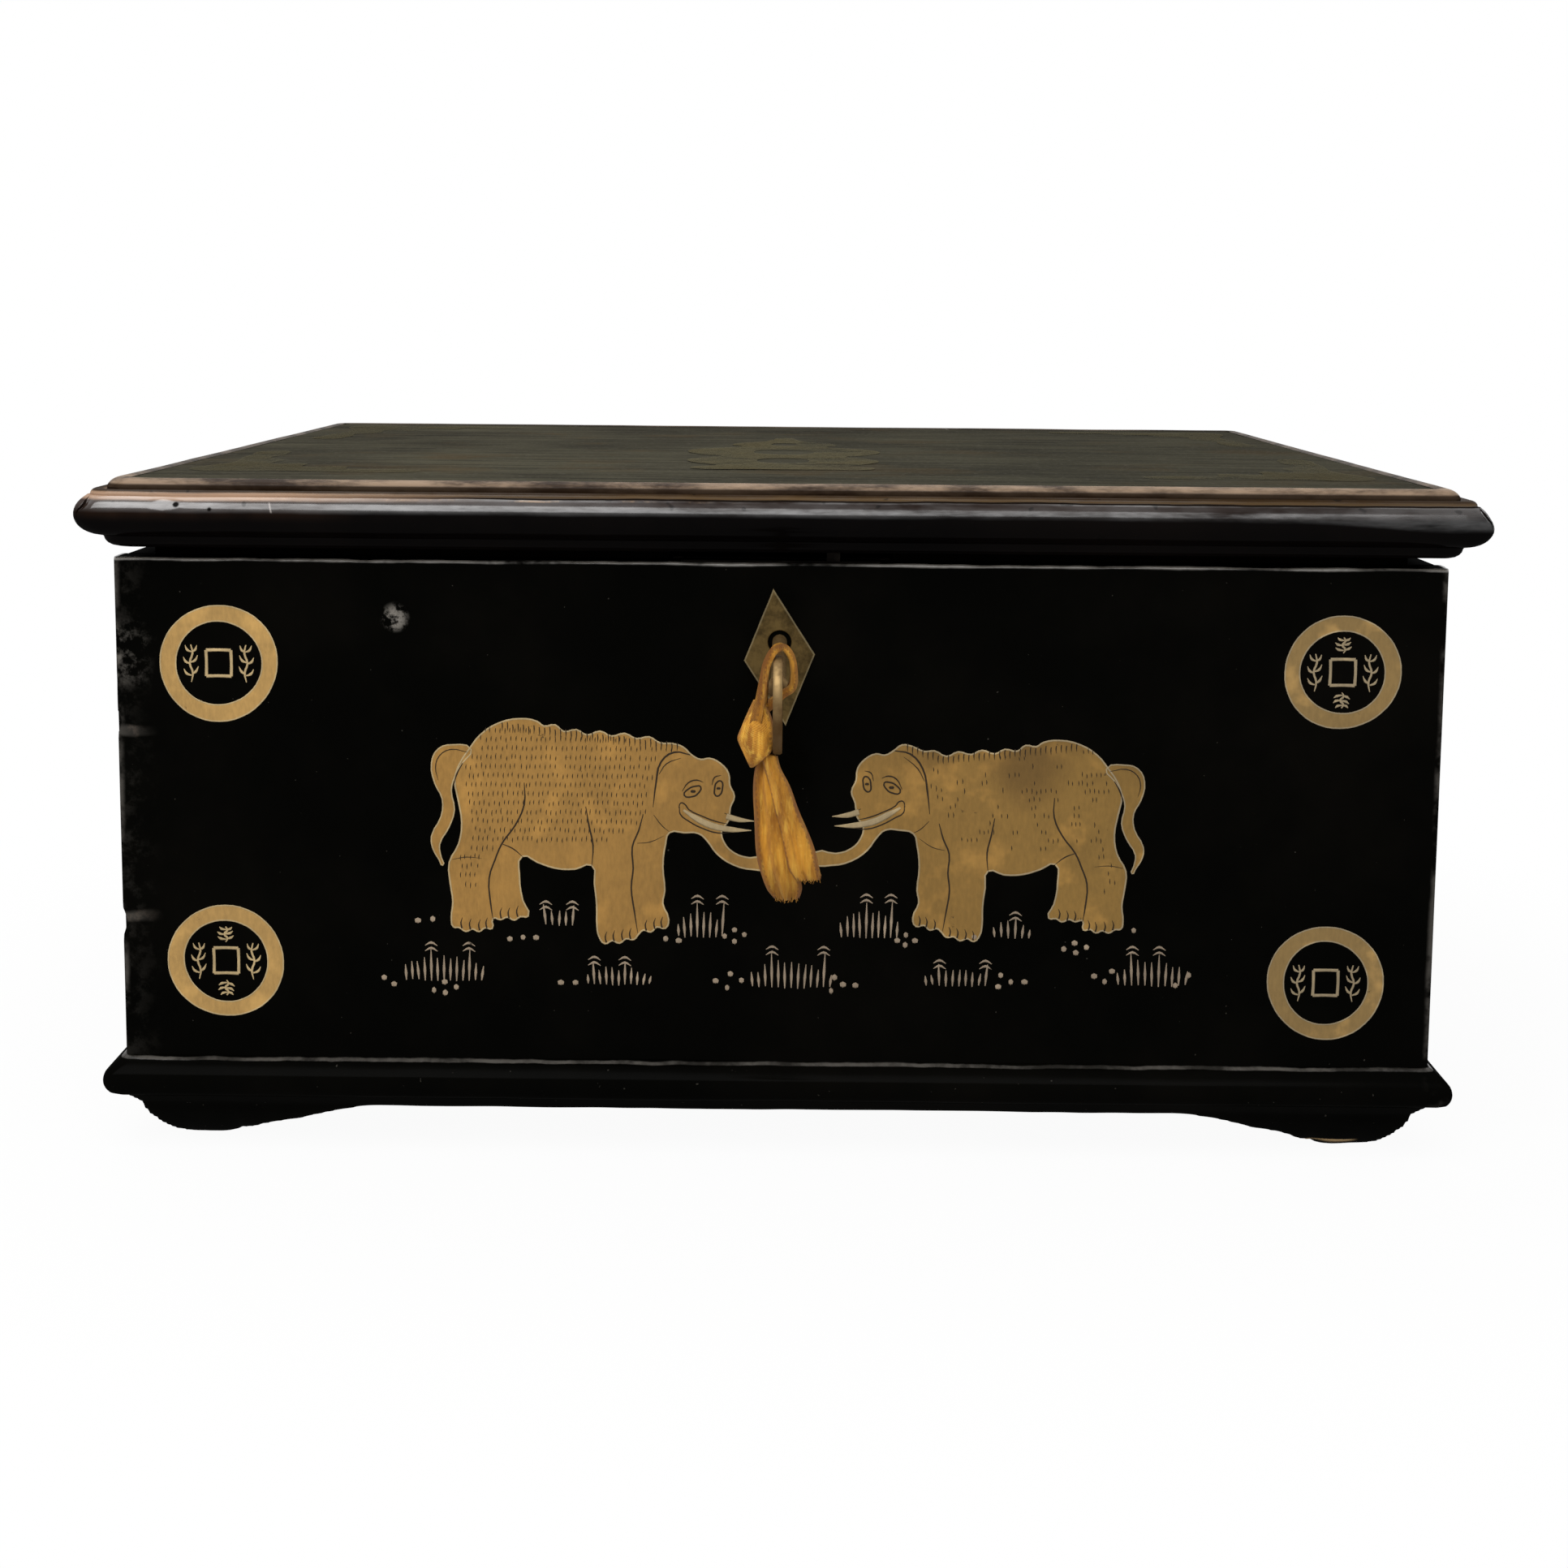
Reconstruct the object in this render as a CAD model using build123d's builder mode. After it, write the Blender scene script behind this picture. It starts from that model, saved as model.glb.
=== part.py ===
"""Lacquered deed box: a flat-lidded wooden box with moulded lid, plinth, box lock and key.

Millimetres, +Z up, +X to the right seen from the front, front towards -Y.
Origin: on the ground, at the middle of the whole object's length and of its reach
from the back moulding of the lid to the bow of the key.
"""

import os
from collections import namedtuple
from math import cos, radians, sin

from build123d import *

# --- body -----------------------------------------------------------------------------------
body_length = 400.0
body_depth = 320.0
body_height = 153.8
wall = 14.0
corner_lap = 8.0
edge_round = 2.2
bottom_thickness = 8.0

# --- plinth: a moulded base frame on a frame of foot rails --------------------------------------
foot_height = 17.6
foot_rail_width = 26.0
foot_set_in = 3.5
foot_fillet_low = 11.6
foot_pad_set_in = 14.0
foot_shoulder_height = 13.4
foot_pad_end = 31.0
apron_break_run = 21.0
apron_break_rise = 7.2
apron_run = 49.0
apron_rise = 12.6
base_height = 12.4
base_width = 24.0
base_overhang = 5.6
base_slope = 4.4
base_nose = 0.7
base_lower_reach = 0.7

# --- lid: mitred moulded frame with a board laid in it -----------------------------------------
lid_gap = 3.2
lid_height = 20.4
lid_set_in = 0.5
lid_rail_width = 26.0
ovolo_reach = 3.5
ovolo_rise = 3.4
nose_radius = 6.8
cove_reach = 2.5
cove_rise = 17.6
panel_thickness = 8.5
panel_fit = 0.1
bead_width = 4.0

# --- lip strips round the mouth of the body -------------------------------------------------------
lip_thickness = 4.0
lip_sunk = 7.4
lid_seat_clearance = 0.3
lock_gap_half = 34.0

# --- hinges ------------------------------------------------------------------------------------
hinge_from_end = 70.0
hinge_length = 45.0
knuckle_radius = 2.5
knuckle_set_in = -1.5
knuckle_gap = 0.3
hinge_pin_radius = 1.0
hinge_pin_clearance = 0.05
leaf_thickness = 1.2
leaf_clearance = 0.3
relief_clearance = 0.4

# --- screws --------------------------------------------------------------------------------------
screw_head_radius = 2.1
screw_radius = 1.1
screw_head_depth = 1.1
screw_slot_width = 0.5
screw_slot_depth = 0.4
screw_point = 2.0
screw_length = 11.0
hinge_screw_pitch = 15.0

# --- lock ----------------------------------------------------------------------------------------
keyhole_below_top = 23.8
keyhole_radius = 3.5
keyhole_slot_width = 3.4
keyhole_slot_depth = 11.2
lock_web = 3.0
lock_half_width = 25.7
lock_below_key = 19.8
lock_plate = 1.2
selvedge_thickness = 1.5
selvedge_overlap = 4.3
lock_fit = 0.1
cap_margin = 6.5
cap_screw_margin = 3.3
cap_screw_inset = 4.0
bolt_thickness = 2.8
bolt_depth_in_board = 8.0
bolt_height = 6.5
bolt_below_top = 12.8
bolt_tail = 24.0
bolt_clearance = 0.3
bolt_staple_gap = 1.7
talon_depth = 4.5
talon_prong = 3.0
talon_left = 14.8
talon_right = 6.6
staple_width = 4.0
staple_wire = 1.0
staple_clearance = 0.5
staple_slot_clearance = 0.6
staple_centre = 16.0
strike_thickness = 1.2
strike_half_width = 5.0
strike_end = 10.0
strike_screw_offset = 7.5
strike_screw_length = 9.0

# --- key -----------------------------------------------------------------------------------------
key_droop = 10.0
shank_radius = 2.25
key_inside = 13.0
bit_start = 6.9
bit_length = 4.5
bit_reach = 9.0
bit_thickness = 2.0
bow_distance = 54.0
bow_half_length = 12.5
bow_half_height = 14.0
bow_rim = 3.4
bow_thickness = 2.6
collar_radius = 3.3
collar_length = 2.2

# --- escutcheon ------------------------------------------------------------------------------------
escutcheon_height = 42.0
escutcheon_width = 21.5
escutcheon_thickness = 0.9
escutcheon_tilt = 5.5
escutcheon_drop = 4.7
escutcheon_pin_radius = 0.7
escutcheon_pin_inset = 4.2
escutcheon_pin_length = 3.6
escutcheon_pin_proud = 0.3

# --- ribbon ----------------------------------------------------------------------------------------
ribbon_clearance = 0.6
ribbon_thickness = 5.0
ribbon_top_left = -8.0
ribbon_top_right = 1.5
ribbon_low_left = -5.0
ribbon_low_right = 11.0
ribbon_drop = 41.0
ribbon_edge = 1.2

# --- levels and places worked out from the sizes above ---------------------------------------------
UP = Vector(0, 0, 1)
body_bottom = foot_height + base_height
body_top = body_bottom + body_height
lid_bottom = body_top + lid_gap
lid_top = lid_bottom + lid_height
panel_bottom = lid_top - panel_thickness
nose_height = lid_bottom + ovolo_rise + nose_radius
lid_overhang = ovolo_reach + nose_radius
lip_foot = body_top - lip_sunk
lip_top = lid_bottom - lid_seat_clearance

droop = radians(key_droop)
key_reach = (bow_distance + bow_half_length) * cos(droop)
centre_y = (key_reach - lid_overhang) / 2
front_y = centre_y - body_depth / 2
back_y = centre_y + body_depth / 2
inner_front_y = front_y + wall

keyhole_z = body_top - keyhole_below_top
key_axis = Vector(0, -cos(droop), -sin(droop))
key_plane = Plane(origin=(0, front_y, keyhole_z), x_dir=(1, 0, 0), z_dir=key_axis)

hinge_x = body_length / 2 - hinge_from_end
hinge_axis_y = back_y - knuckle_set_in - knuckle_radius
hinge_axis_z = body_top + lid_gap / 2

os.makedirs("parts", exist_ok=True)


def save(piece, name):
    """Label a finished piece and write it to its own STEP file."""
    piece.label = name
    export_step(piece, f"parts/{name}.step")


# --- the four sides of the box ---------------------------------------------------------------------
Side = namedtuple("Side", "name out along face half")
centre = Vector(0, centre_y, 0)
sides = [
    Side("front", Vector(0, -1, 0), Vector(1, 0, 0), centre + Vector(0, -body_depth / 2, 0), body_length / 2),
    Side("back", Vector(0, 1, 0), Vector(1, 0, 0), centre + Vector(0, body_depth / 2, 0), body_length / 2),
    Side("left", Vector(-1, 0, 0), Vector(0, 1, 0), centre + Vector(-body_length / 2, 0, 0), body_depth / 2),
    Side("right", Vector(1, 0, 0), Vector(0, 1, 0), centre + Vector(body_length / 2, 0, 0), body_depth / 2),
]


def section_plane(side):
    """A plane across one side's mouldings: x runs outwards from the body's face, y is height."""
    return Plane(origin=side.face, x_dir=side.out, z_dir=side.out.cross(UP))


def mitred_rail(section, side):
    """A section run along one side of the box, with both ends cut on the mitre."""
    with BuildPart() as rail:
        extrude(section, amount=side.half + lid_overhang, both=True)
        for end in (-1, 1):
            run = side.along * end
            mitre = Plane(origin=side.face + run * side.half, z_dir=run - side.out)
            split(bisect_by=mitre, keep=Keep.BOTTOM)
    return rail.part


# --- screws and pins -------------------------------------------------------------------------------
def wood_screw(length, slotted):
    """A countersunk wood screw pointing down, its head's face at the origin."""
    with BuildPart() as screw:
        with BuildSketch(Plane.XZ):
            with BuildLine():
                Polyline(
                    (0, 0),
                    (screw_head_radius, 0),
                    (screw_radius, -screw_head_depth),
                    (screw_radius, screw_point - length),
                    (0, -length),
                    close=True,
                )
            make_face()
        revolve(axis=Axis.Z)
        if slotted:
            with BuildSketch(Plane.XY):
                Rectangle(3 * screw_head_radius, screw_slot_width)
            extrude(amount=-screw_slot_depth, mode=Mode.SUBTRACT)
    return screw.part


def screw_group(places, length, slotted=True):
    """Like screws at several places, kept as separate solids."""
    screw = wood_screw(length, slotted)
    return Compound(children=[screw.moved(place) for place in places])


# --- foot rails: the ogee feet at the corners with a scalloped apron between -------------------------
def foot_section(side):
    """Section of a foot rail, with a sloping shoulder, a short fillet and an inward curve."""
    with BuildSketch(section_plane(side)) as section:
        with BuildLine():
            Polyline(
                (-foot_pad_set_in, 0),
                (-foot_rail_width, 0),
                (-foot_rail_width, foot_height),
                (base_lower_reach, foot_height),
                (-foot_set_in, foot_shoulder_height),
                (-foot_set_in, foot_fillet_low),
            )
            ThreePointArc(
                (-foot_set_in, foot_fillet_low),
                (-0.4 * foot_set_in - 0.5 * foot_pad_set_in, 0.42 * foot_fillet_low),
                (-foot_pad_set_in, 0),
            )
        make_face()
    return section.sketch


for side in sides:
    apron_plane = Plane(origin=side.face, x_dir=side.out.cross(UP) * -1, z_dir=side.out)
    with BuildPart() as foot_rail:
        add(mitred_rail(foot_section(side), side))
        with BuildSketch(apron_plane) as apron:
            with BuildLine():
                for end in (-1, 1):
                    foot = end * (side.half - foot_pad_end)
                    brake = foot - end * apron_break_run
                    crown = foot - end * apron_run
                    ThreePointArc(
                        (foot, 0),
                        (foot - end * 0.43 * apron_break_run, 0.68 * apron_break_rise),
                        (brake, apron_break_rise),
                    )
                    ThreePointArc(
                        (brake, apron_break_rise),
                        (0.6 * brake + 0.4 * crown, 0.3 * apron_break_rise + 0.7 * apron_rise),
                        (crown, apron_rise),
                    )
                Line((-crown, apron_rise), (crown, apron_rise))
                Polyline((-foot, 0), (-foot, -1), (foot, -1), (foot, 0))
            make_face()
        extrude(amount=2 * foot_rail_width, both=True, mode=Mode.SUBTRACT)
    save(foot_rail.part, f"foot_rail_{side.name}")


# --- base mouldings: chamfered top and rounded nose, mitred at the corners ---------------------------
def base_section(side):
    """Section of the base moulding, which carries the body's boards and the bottom."""
    slope_foot = body_bottom - base_slope
    nose_foot = foot_height + 0.12 * base_height
    with BuildSketch(section_plane(side)) as section:
        with BuildLine():
            Polyline(
                (base_lower_reach, foot_height),
                (-base_width, foot_height),
                (-base_width, body_bottom),
                (0, body_bottom),
                (base_overhang, slope_foot),
            )
            ThreePointArc(
                (base_overhang, slope_foot),
                (base_overhang + base_nose, (slope_foot + nose_foot) / 2),
                (base_overhang - base_nose, nose_foot),
            )
            Line((base_overhang - base_nose, nose_foot), (base_lower_reach, foot_height))
        make_face()
    return section.sketch


for side in sides:
    save(mitred_rail(base_section(side), side), f"base_moulding_{side.name}")


# --- bottom board, lying on the base frame between the walls -----------------------------------------
with BuildPart() as bottom_board:
    with BuildSketch(Plane.XY.offset(body_bottom)):
        with Locations((0, centre_y)):
            Rectangle(body_length - 2 * wall, body_depth - 2 * wall)
    extrude(amount=bottom_thickness)
save(bottom_board.part, "bottom_board")


# --- front and back boards, lapped over the ends of the side boards ----------------------------------
def long_board(sign):
    """The front (sign -1) or back (sign 1) board, rebated for the corner laps and the lip."""
    face_y = centre_y + sign * body_depth / 2
    with BuildPart() as board:
        with BuildSketch(Plane.XY.offset(body_bottom)):
            with Locations((0, face_y - sign * corner_lap / 2)):
                Rectangle(body_length, corner_lap)
            with Locations((0, face_y - sign * (corner_lap + wall) / 2)):
                Rectangle(body_length - 2 * wall, wall - corner_lap)
        extrude(amount=body_height)
        with BuildSketch(Plane.XY.offset(lip_foot)):
            with Locations((0, face_y - sign * (wall - lip_thickness / 2))):
                Rectangle(body_length, lip_thickness)
        extrude(amount=lip_sunk, mode=Mode.SUBTRACT)
        corners = board.edges().filter_by(Axis.Z).filter_by(lambda e: abs(e.center().Y - face_y) < 0.1)
        rims = board.edges().filter_by(lambda e: abs(e.center().Z - body_top) < 0.1)
        outer = rims.filter_by(
            lambda e: abs(e.center().Y - face_y) < 0.1 or abs(e.center().X) > body_length / 2 - 0.1
        )
        fillet(corners + outer, radius=edge_round)
    return board.part


# --- side boards ---------------------------------------------------------------------------------------
for name, sign in (("left_board", -1), ("right_board", 1)):
    with BuildPart() as side_board:
        with BuildSketch(Plane.XY.offset(body_bottom)):
            with Locations((sign * (body_length - wall) / 2, centre_y)):
                Rectangle(wall, body_depth - 2 * corner_lap)
        extrude(amount=body_height)
        with BuildSketch(Plane.XY.offset(lip_foot)):
            with Locations((sign * (body_length / 2 - wall + lip_thickness / 2), centre_y)):
                Rectangle(lip_thickness, body_depth)
        extrude(amount=lip_sunk, mode=Mode.SUBTRACT)
        rim = side_board.edges().filter_by(Axis.Y).filter_by(
            lambda e: abs(e.center().Z - body_top) < 0.1 and abs(e.center().X) > body_length / 2 - 0.1
        )
        fillet(rim, radius=edge_round)
    save(side_board.part, name)


# --- lip strips that stand above the boards and carry the lid --------------------------------------------
lip_x = body_length / 2 - wall + lip_thickness
lip_y = body_depth / 2 - wall + lip_thickness
lip_rise = lip_top - lip_foot
front_lip_length = lip_x - lock_gap_half
lips = {
    "lip_back": (0, centre_y + lip_y - lip_thickness / 2, 2 * lip_x, lip_thickness),
    "lip_left": (-lip_x + lip_thickness / 2, centre_y, lip_thickness, 2 * (lip_y - lip_thickness)),
    "lip_right": (lip_x - lip_thickness / 2, centre_y, lip_thickness, 2 * (lip_y - lip_thickness)),
    "lip_front_left": (
        -lock_gap_half - front_lip_length / 2,
        centre_y - lip_y + lip_thickness / 2,
        front_lip_length,
        lip_thickness,
    ),
    "lip_front_right": (
        lock_gap_half + front_lip_length / 2,
        centre_y - lip_y + lip_thickness / 2,
        front_lip_length,
        lip_thickness,
    ),
}
for name, (x, y, length, width) in lips.items():
    with BuildPart() as lip:
        with BuildSketch(Plane.XY.offset(lip_foot)):
            with Locations((x, y)):
                Rectangle(length, width)
        extrude(amount=lip_rise)
    save(lip.part, name)


# --- lid mouldings ---------------------------------------------------------------------------------------
def lid_section(side):
    """Section of the lid's frame: small ovolo below, big rounded nose, shallow cove above."""
    nose_end = (ovolo_reach + nose_radius * cos(radians(60)), nose_height + nose_radius * sin(radians(60)))
    cove_end = (cove_reach, lid_bottom + cove_rise)
    with BuildSketch(section_plane(side)) as section:
        with BuildLine():
            Polyline(
                cove_end,
                (cove_reach, panel_bottom),
                (-lid_rail_width, panel_bottom),
                (-lid_rail_width, lid_bottom),
                (-lid_set_in, lid_bottom),
            )
            ThreePointArc(
                (-lid_set_in, lid_bottom),
                (0.7 * ovolo_reach, lid_bottom + 0.35 * ovolo_rise),
                (ovolo_reach, lid_bottom + ovolo_rise),
            )
            ThreePointArc(
                (ovolo_reach, lid_bottom + ovolo_rise),
                (ovolo_reach + nose_radius, nose_height),
                nose_end,
            )
            ThreePointArc(
                nose_end,
                (0.55 * nose_end[0] + 0.45 * cove_end[0] - 0.3, 0.6 * nose_end[1] + 0.4 * cove_end[1] - 0.4),
                cove_end,
            )
        make_face()
    return section.sketch


lid_rails = {side.name: mitred_rail(lid_section(side), side) for side in sides}
for name in ("left", "right"):
    save(lid_rails[name], f"lid_moulding_{name}")


# --- lid board, laid in the frame's rebate, its worn edge rounded over -------------------------------------
panel_reach = cove_reach - panel_fit
bead_height = lid_height - cove_rise
with BuildPart() as lid_board:
    with BuildSketch(Plane.XY.offset(panel_bottom)):
        with Locations((0, centre_y)):
            Rectangle(body_length + 2 * panel_reach, body_depth + 2 * panel_reach)
    extrude(amount=panel_thickness - bead_height)
    with BuildSketch(Plane.XY.offset(lid_top - bead_height)) as bead_foot:
        with Locations((0, centre_y)):
            Rectangle(body_length + 2 * panel_reach, body_depth + 2 * panel_reach)
    with BuildSketch(Plane.XY.offset(lid_top)) as bead_top:
        with Locations((0, centre_y)):
            Rectangle(
                body_length + 2 * (panel_reach - bead_width), body_depth + 2 * (panel_reach - bead_width)
            )
    loft([bead_foot.sketch, bead_top.sketch])
save(lid_board.part, "lid_board")


# --- hinges: two brass butts in the gap under the lid --------------------------------------------------
def knuckle(x, length):
    """One knuckle of a hinge about the hinge axis, centred on x."""
    with BuildPart() as barrel:
        with BuildSketch(Plane.YZ.offset(x)):
            with Locations((hinge_axis_y, hinge_axis_z)):
                Circle(knuckle_radius)
        extrude(amount=length / 2, both=True)
    return barrel.part


def leaf(x, z_low, knuckles, others):
    """A hinge leaf: a plate out to the hinge axis with its own knuckles, cleared for the others."""
    with BuildPart() as plate:
        with BuildSketch(Plane.XY.offset(z_low)):
            with Locations((x, (leaf_y + hinge_axis_y) / 2)):
                Rectangle(hinge_length, hinge_axis_y - leaf_y)
        extrude(amount=leaf_thickness)
        for spot in others:
            with BuildSketch(Plane.YZ.offset(x + spot)):
                with Locations((hinge_axis_y, hinge_axis_z)):
                    Circle(knuckle_radius + relief_clearance)
            extrude(amount=knuckle_length / 2 + knuckle_gap, both=True, mode=Mode.SUBTRACT)
        for spot in knuckles:
            add(knuckle(x + spot, knuckle_length))
        with BuildSketch(Plane.YZ.offset(x)):
            with Locations((hinge_axis_y, hinge_axis_z)):
                Circle(hinge_pin_radius + hinge_pin_clearance)
        extrude(amount=hinge_length, both=True, mode=Mode.SUBTRACT)
    return plate.part


knuckle_length = (hinge_length - 2 * knuckle_gap) / 3
knuckle_pitch = knuckle_length + knuckle_gap
leaf_y = back_y - wall + lip_thickness + leaf_clearance
leaf_screw_y = (leaf_y + hinge_axis_y - knuckle_radius) / 2
hinge_sides = (("left", -hinge_x), ("right", hinge_x))
screw_spots = [x + i * hinge_screw_pitch for _, x in hinge_sides for i in (-1, 0, 1)]
body_screw_places = [Location((x, leaf_screw_y, body_top + leaf_thickness)) for x in screw_spots]
lid_screw_places = [
    Location((x, leaf_screw_y, lid_bottom - leaf_thickness), (180, 0, 0)) for x in screw_spots
]
body_screw_holes = screw_group(body_screw_places, screw_length, slotted=False)
lid_screw_holes = screw_group(lid_screw_places, screw_length, slotted=False)

for name, x in hinge_sides:
    with BuildPart() as body_leaf:
        add(leaf(x, body_top, (-knuckle_pitch, knuckle_pitch), (0,)))
        add(body_screw_holes, mode=Mode.SUBTRACT)
    save(body_leaf.part, f"hinge_leaf_body_{name}")
    with BuildPart() as lid_leaf:
        add(leaf(x, lid_bottom - leaf_thickness, (0,), (-knuckle_pitch, knuckle_pitch)))
        add(lid_screw_holes, mode=Mode.SUBTRACT)
    save(lid_leaf.part, f"hinge_leaf_lid_{name}")
    with BuildPart() as hinge_pin:
        with BuildSketch(Plane.YZ.offset(x)):
            with Locations((hinge_axis_y, hinge_axis_z)):
                Circle(hinge_pin_radius)
        extrude(amount=hinge_length / 2, both=True)
    save(hinge_pin.part, f"hinge_pin_{name}")
save(screw_group(body_screw_places, screw_length), "hinge_screws_body")
save(screw_group(lid_screw_places, screw_length), "hinge_screws_lid")


def knuckle_reliefs():
    """Rounded grooves in the wood that clear the hinges' knuckles."""
    with BuildPart() as grooves:
        for _, x in hinge_sides:
            with BuildSketch(Plane.YZ.offset(x)):
                with Locations((hinge_axis_y, hinge_axis_z)):
                    Circle(knuckle_radius + relief_clearance)
            extrude(amount=hinge_length / 2 + knuckle_gap, both=True)
    return grooves.part


with BuildPart() as back_board:
    add(long_board(1))
    add(body_screw_holes, mode=Mode.SUBTRACT)
    add(knuckle_reliefs(), mode=Mode.SUBTRACT)
save(back_board.part, "back_board")

with BuildPart() as lid_moulding_back:
    add(lid_rails["back"])
    add(lid_screw_holes, mode=Mode.SUBTRACT)
    add(knuckle_reliefs(), mode=Mode.SUBTRACT)
save(lid_moulding_back.part, "lid_moulding_back")


# --- lock: a half-mortised case with a top plate, closed on the inside by a cap --------------------------
lock_front = front_y + lock_web
lock_top = body_top - selvedge_thickness
lock_floor = keyhole_z - lock_below_key
bolt_y = front_y + bolt_depth_in_board
bolt_low = body_top - bolt_below_top
bolt_high = bolt_low + bolt_height
bolt_nose = staple_centre - staple_width / 2 - bolt_staple_gap
eye_half = bolt_thickness / 2 + staple_clearance
staple_half = eye_half + staple_wire
ledge_top = bolt_low - bolt_clearance
ledge_low = ledge_top - lock_plate
selvedge_half = lock_half_width + selvedge_overlap
cap_half = lock_half_width + cap_margin


def box_between(low, high):
    """A plain block given by its lowest and highest corners."""
    size = Vector(*high) - Vector(*low)
    with BuildPart() as block:
        with Locations((Vector(*low) + Vector(*high)) * 0.5):
            Box(size.X, size.Y, size.Z)
    return block.part


def keyhole(depth_out, depth_in, growth=0.0):
    """The keyhole's round and slot, through from in front of the face to behind it."""
    with BuildPart() as hole:
        with BuildSketch(Plane(origin=(0, front_y - depth_out, keyhole_z), x_dir=(1, 0, 0), z_dir=(0, 1, 0))):
            Circle(keyhole_radius + growth)
            with Locations((0, keyhole_slot_depth / 2)):
                Rectangle(keyhole_slot_width + 2 * growth, keyhole_slot_depth + 2 * growth)
        extrude(amount=depth_out + depth_in)
    return hole.part


cap_screw_x = cap_half - cap_screw_margin
cap_low = lock_floor - lock_plate
cap_screw_places = [
    Location((x, inner_front_y + lock_plate, z), (90, 0, 0))
    for x in (-cap_screw_x, cap_screw_x)
    for z in (cap_low + cap_screw_inset, lip_foot - cap_screw_inset)
]
cap_screw_length = wall - lock_web
cap_screw_holes = screw_group(cap_screw_places, cap_screw_length, slotted=False)

with BuildPart() as lock_case:
    add(
        box_between(
            (-lock_half_width, lock_front + lock_fit, lock_floor), (lock_half_width, inner_front_y, lock_top)
        )
    )
    add(
        box_between(
            (-selvedge_half, lock_front + lock_fit, lock_top), (selvedge_half, inner_front_y, body_top)
        )
    )
    add(
        box_between(
            (-lock_half_width + lock_plate, lock_front + lock_fit + lock_plate, lock_floor + lock_plate),
            (lock_half_width - lock_plate, inner_front_y, lock_top),
        ),
        mode=Mode.SUBTRACT,
    )
    # ledges under and over the bolt: two below, clear of the talon and of the bit's sweep, one above
    for x_low, x_high, z_low, z_high in (
        (-lock_half_width, -talon_left - talon_prong - bolt_clearance, ledge_low, ledge_top),
        (bit_reach + bolt_clearance, bolt_nose, ledge_low, ledge_top),
        (-lock_half_width, bolt_nose, bolt_high + bolt_clearance, lock_top),
    ):
        add(
            box_between(
                (x_low, lock_front + lock_fit, z_low), (x_high, bolt_y + bolt_thickness / 2, z_high)
            )
        )
    add(keyhole(0, wall / 2, growth=-lock_fit), mode=Mode.SUBTRACT)
    add(
        box_between(
            (
                staple_centre - staple_width / 2 - staple_slot_clearance,
                bolt_y - staple_half - staple_slot_clearance,
                lock_top - 1,
            ),
            (
                staple_centre + staple_width / 2 + staple_slot_clearance,
                bolt_y + staple_half + staple_slot_clearance,
                body_top + 1,
            ),
        ),
        mode=Mode.SUBTRACT,
    )
save(lock_case.part, "lock_case")

with BuildPart() as lock_cap:
    add(
        box_between(
            (-cap_half, inner_front_y, cap_low), (cap_half, inner_front_y + lock_plate, lip_foot)
        )
    )
    add(
        box_between(
            (-lock_gap_half + 1, inner_front_y, lip_foot),
            (lock_gap_half - 1, inner_front_y + lock_plate, body_top),
        )
    )
    add(cap_screw_holes, mode=Mode.SUBTRACT)
save(lock_cap.part, "lock_cap")
save(screw_group(cap_screw_places, cap_screw_length), "lock_cap_screws")

with BuildPart() as bolt:
    add(
        box_between(
            (-bolt_tail, bolt_y - bolt_thickness / 2, bolt_low),
            (bolt_nose, bolt_y + bolt_thickness / 2, bolt_high),
        )
    )
    for x_low in (-talon_left - talon_prong, -talon_right):
        add(
            box_between(
                (x_low, bolt_y - bolt_thickness / 2, bolt_low - talon_depth),
                (x_low + talon_prong, bolt_y + bolt_thickness / 2, bolt_low),
            )
        )
save(bolt.part, "lock_bolt")


# --- front board, with the lock's mortise, keyhole and screw holes ---------------------------------------
escutcheon_z = keyhole_z - escutcheon_drop
tilt = radians(escutcheon_tilt)
escutcheon_plane = Plane(
    origin=(0, front_y, escutcheon_z), x_dir=(cos(tilt), 0, sin(tilt)), z_dir=(0, -1, 0)
)
pin_reach = escutcheon_height / 2 - escutcheon_pin_inset


def escutcheon_pins(proud):
    """The two brad pins at the plate's upper and lower points."""
    with BuildPart() as pins:
        with BuildSketch(escutcheon_plane.offset(escutcheon_thickness + proud)):
            with Locations((0, pin_reach), (0, -pin_reach)):
                Circle(escutcheon_pin_radius)
        extrude(amount=-escutcheon_pin_length)
    return pins.part


with BuildPart() as front_board:
    add(long_board(-1))
    add(
        box_between(
            (-lock_half_width - lock_fit, lock_front, lock_floor - lock_fit),
            (lock_half_width + lock_fit, inner_front_y + 1, body_top + 1),
        ),
        mode=Mode.SUBTRACT,
    )
    add(
        box_between(
            (-selvedge_half - lock_fit, lock_front, lock_top),
            (selvedge_half + lock_fit, inner_front_y + 1, body_top + 1),
        ),
        mode=Mode.SUBTRACT,
    )
    add(keyhole(1, wall), mode=Mode.SUBTRACT)
    add(cap_screw_holes, mode=Mode.SUBTRACT)
    add(escutcheon_pins(0), mode=Mode.SUBTRACT)
save(front_board.part, "front_board")

with BuildPart() as escutcheon:
    with BuildSketch(escutcheon_plane):
        with BuildLine():
            Polyline(
                (0, escutcheon_height / 2),
                (escutcheon_width / 2, 0),
                (0, -escutcheon_height / 2),
                (-escutcheon_width / 2, 0),
                close=True,
            )
        make_face()
    extrude(amount=escutcheon_thickness)
    add(keyhole(escutcheon_thickness + 1, wall), mode=Mode.SUBTRACT)
    add(escutcheon_pins(0), mode=Mode.SUBTRACT)
save(escutcheon.part, "escutcheon")
save(escutcheon_pins(escutcheon_pin_proud), "escutcheon_pins")


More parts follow.
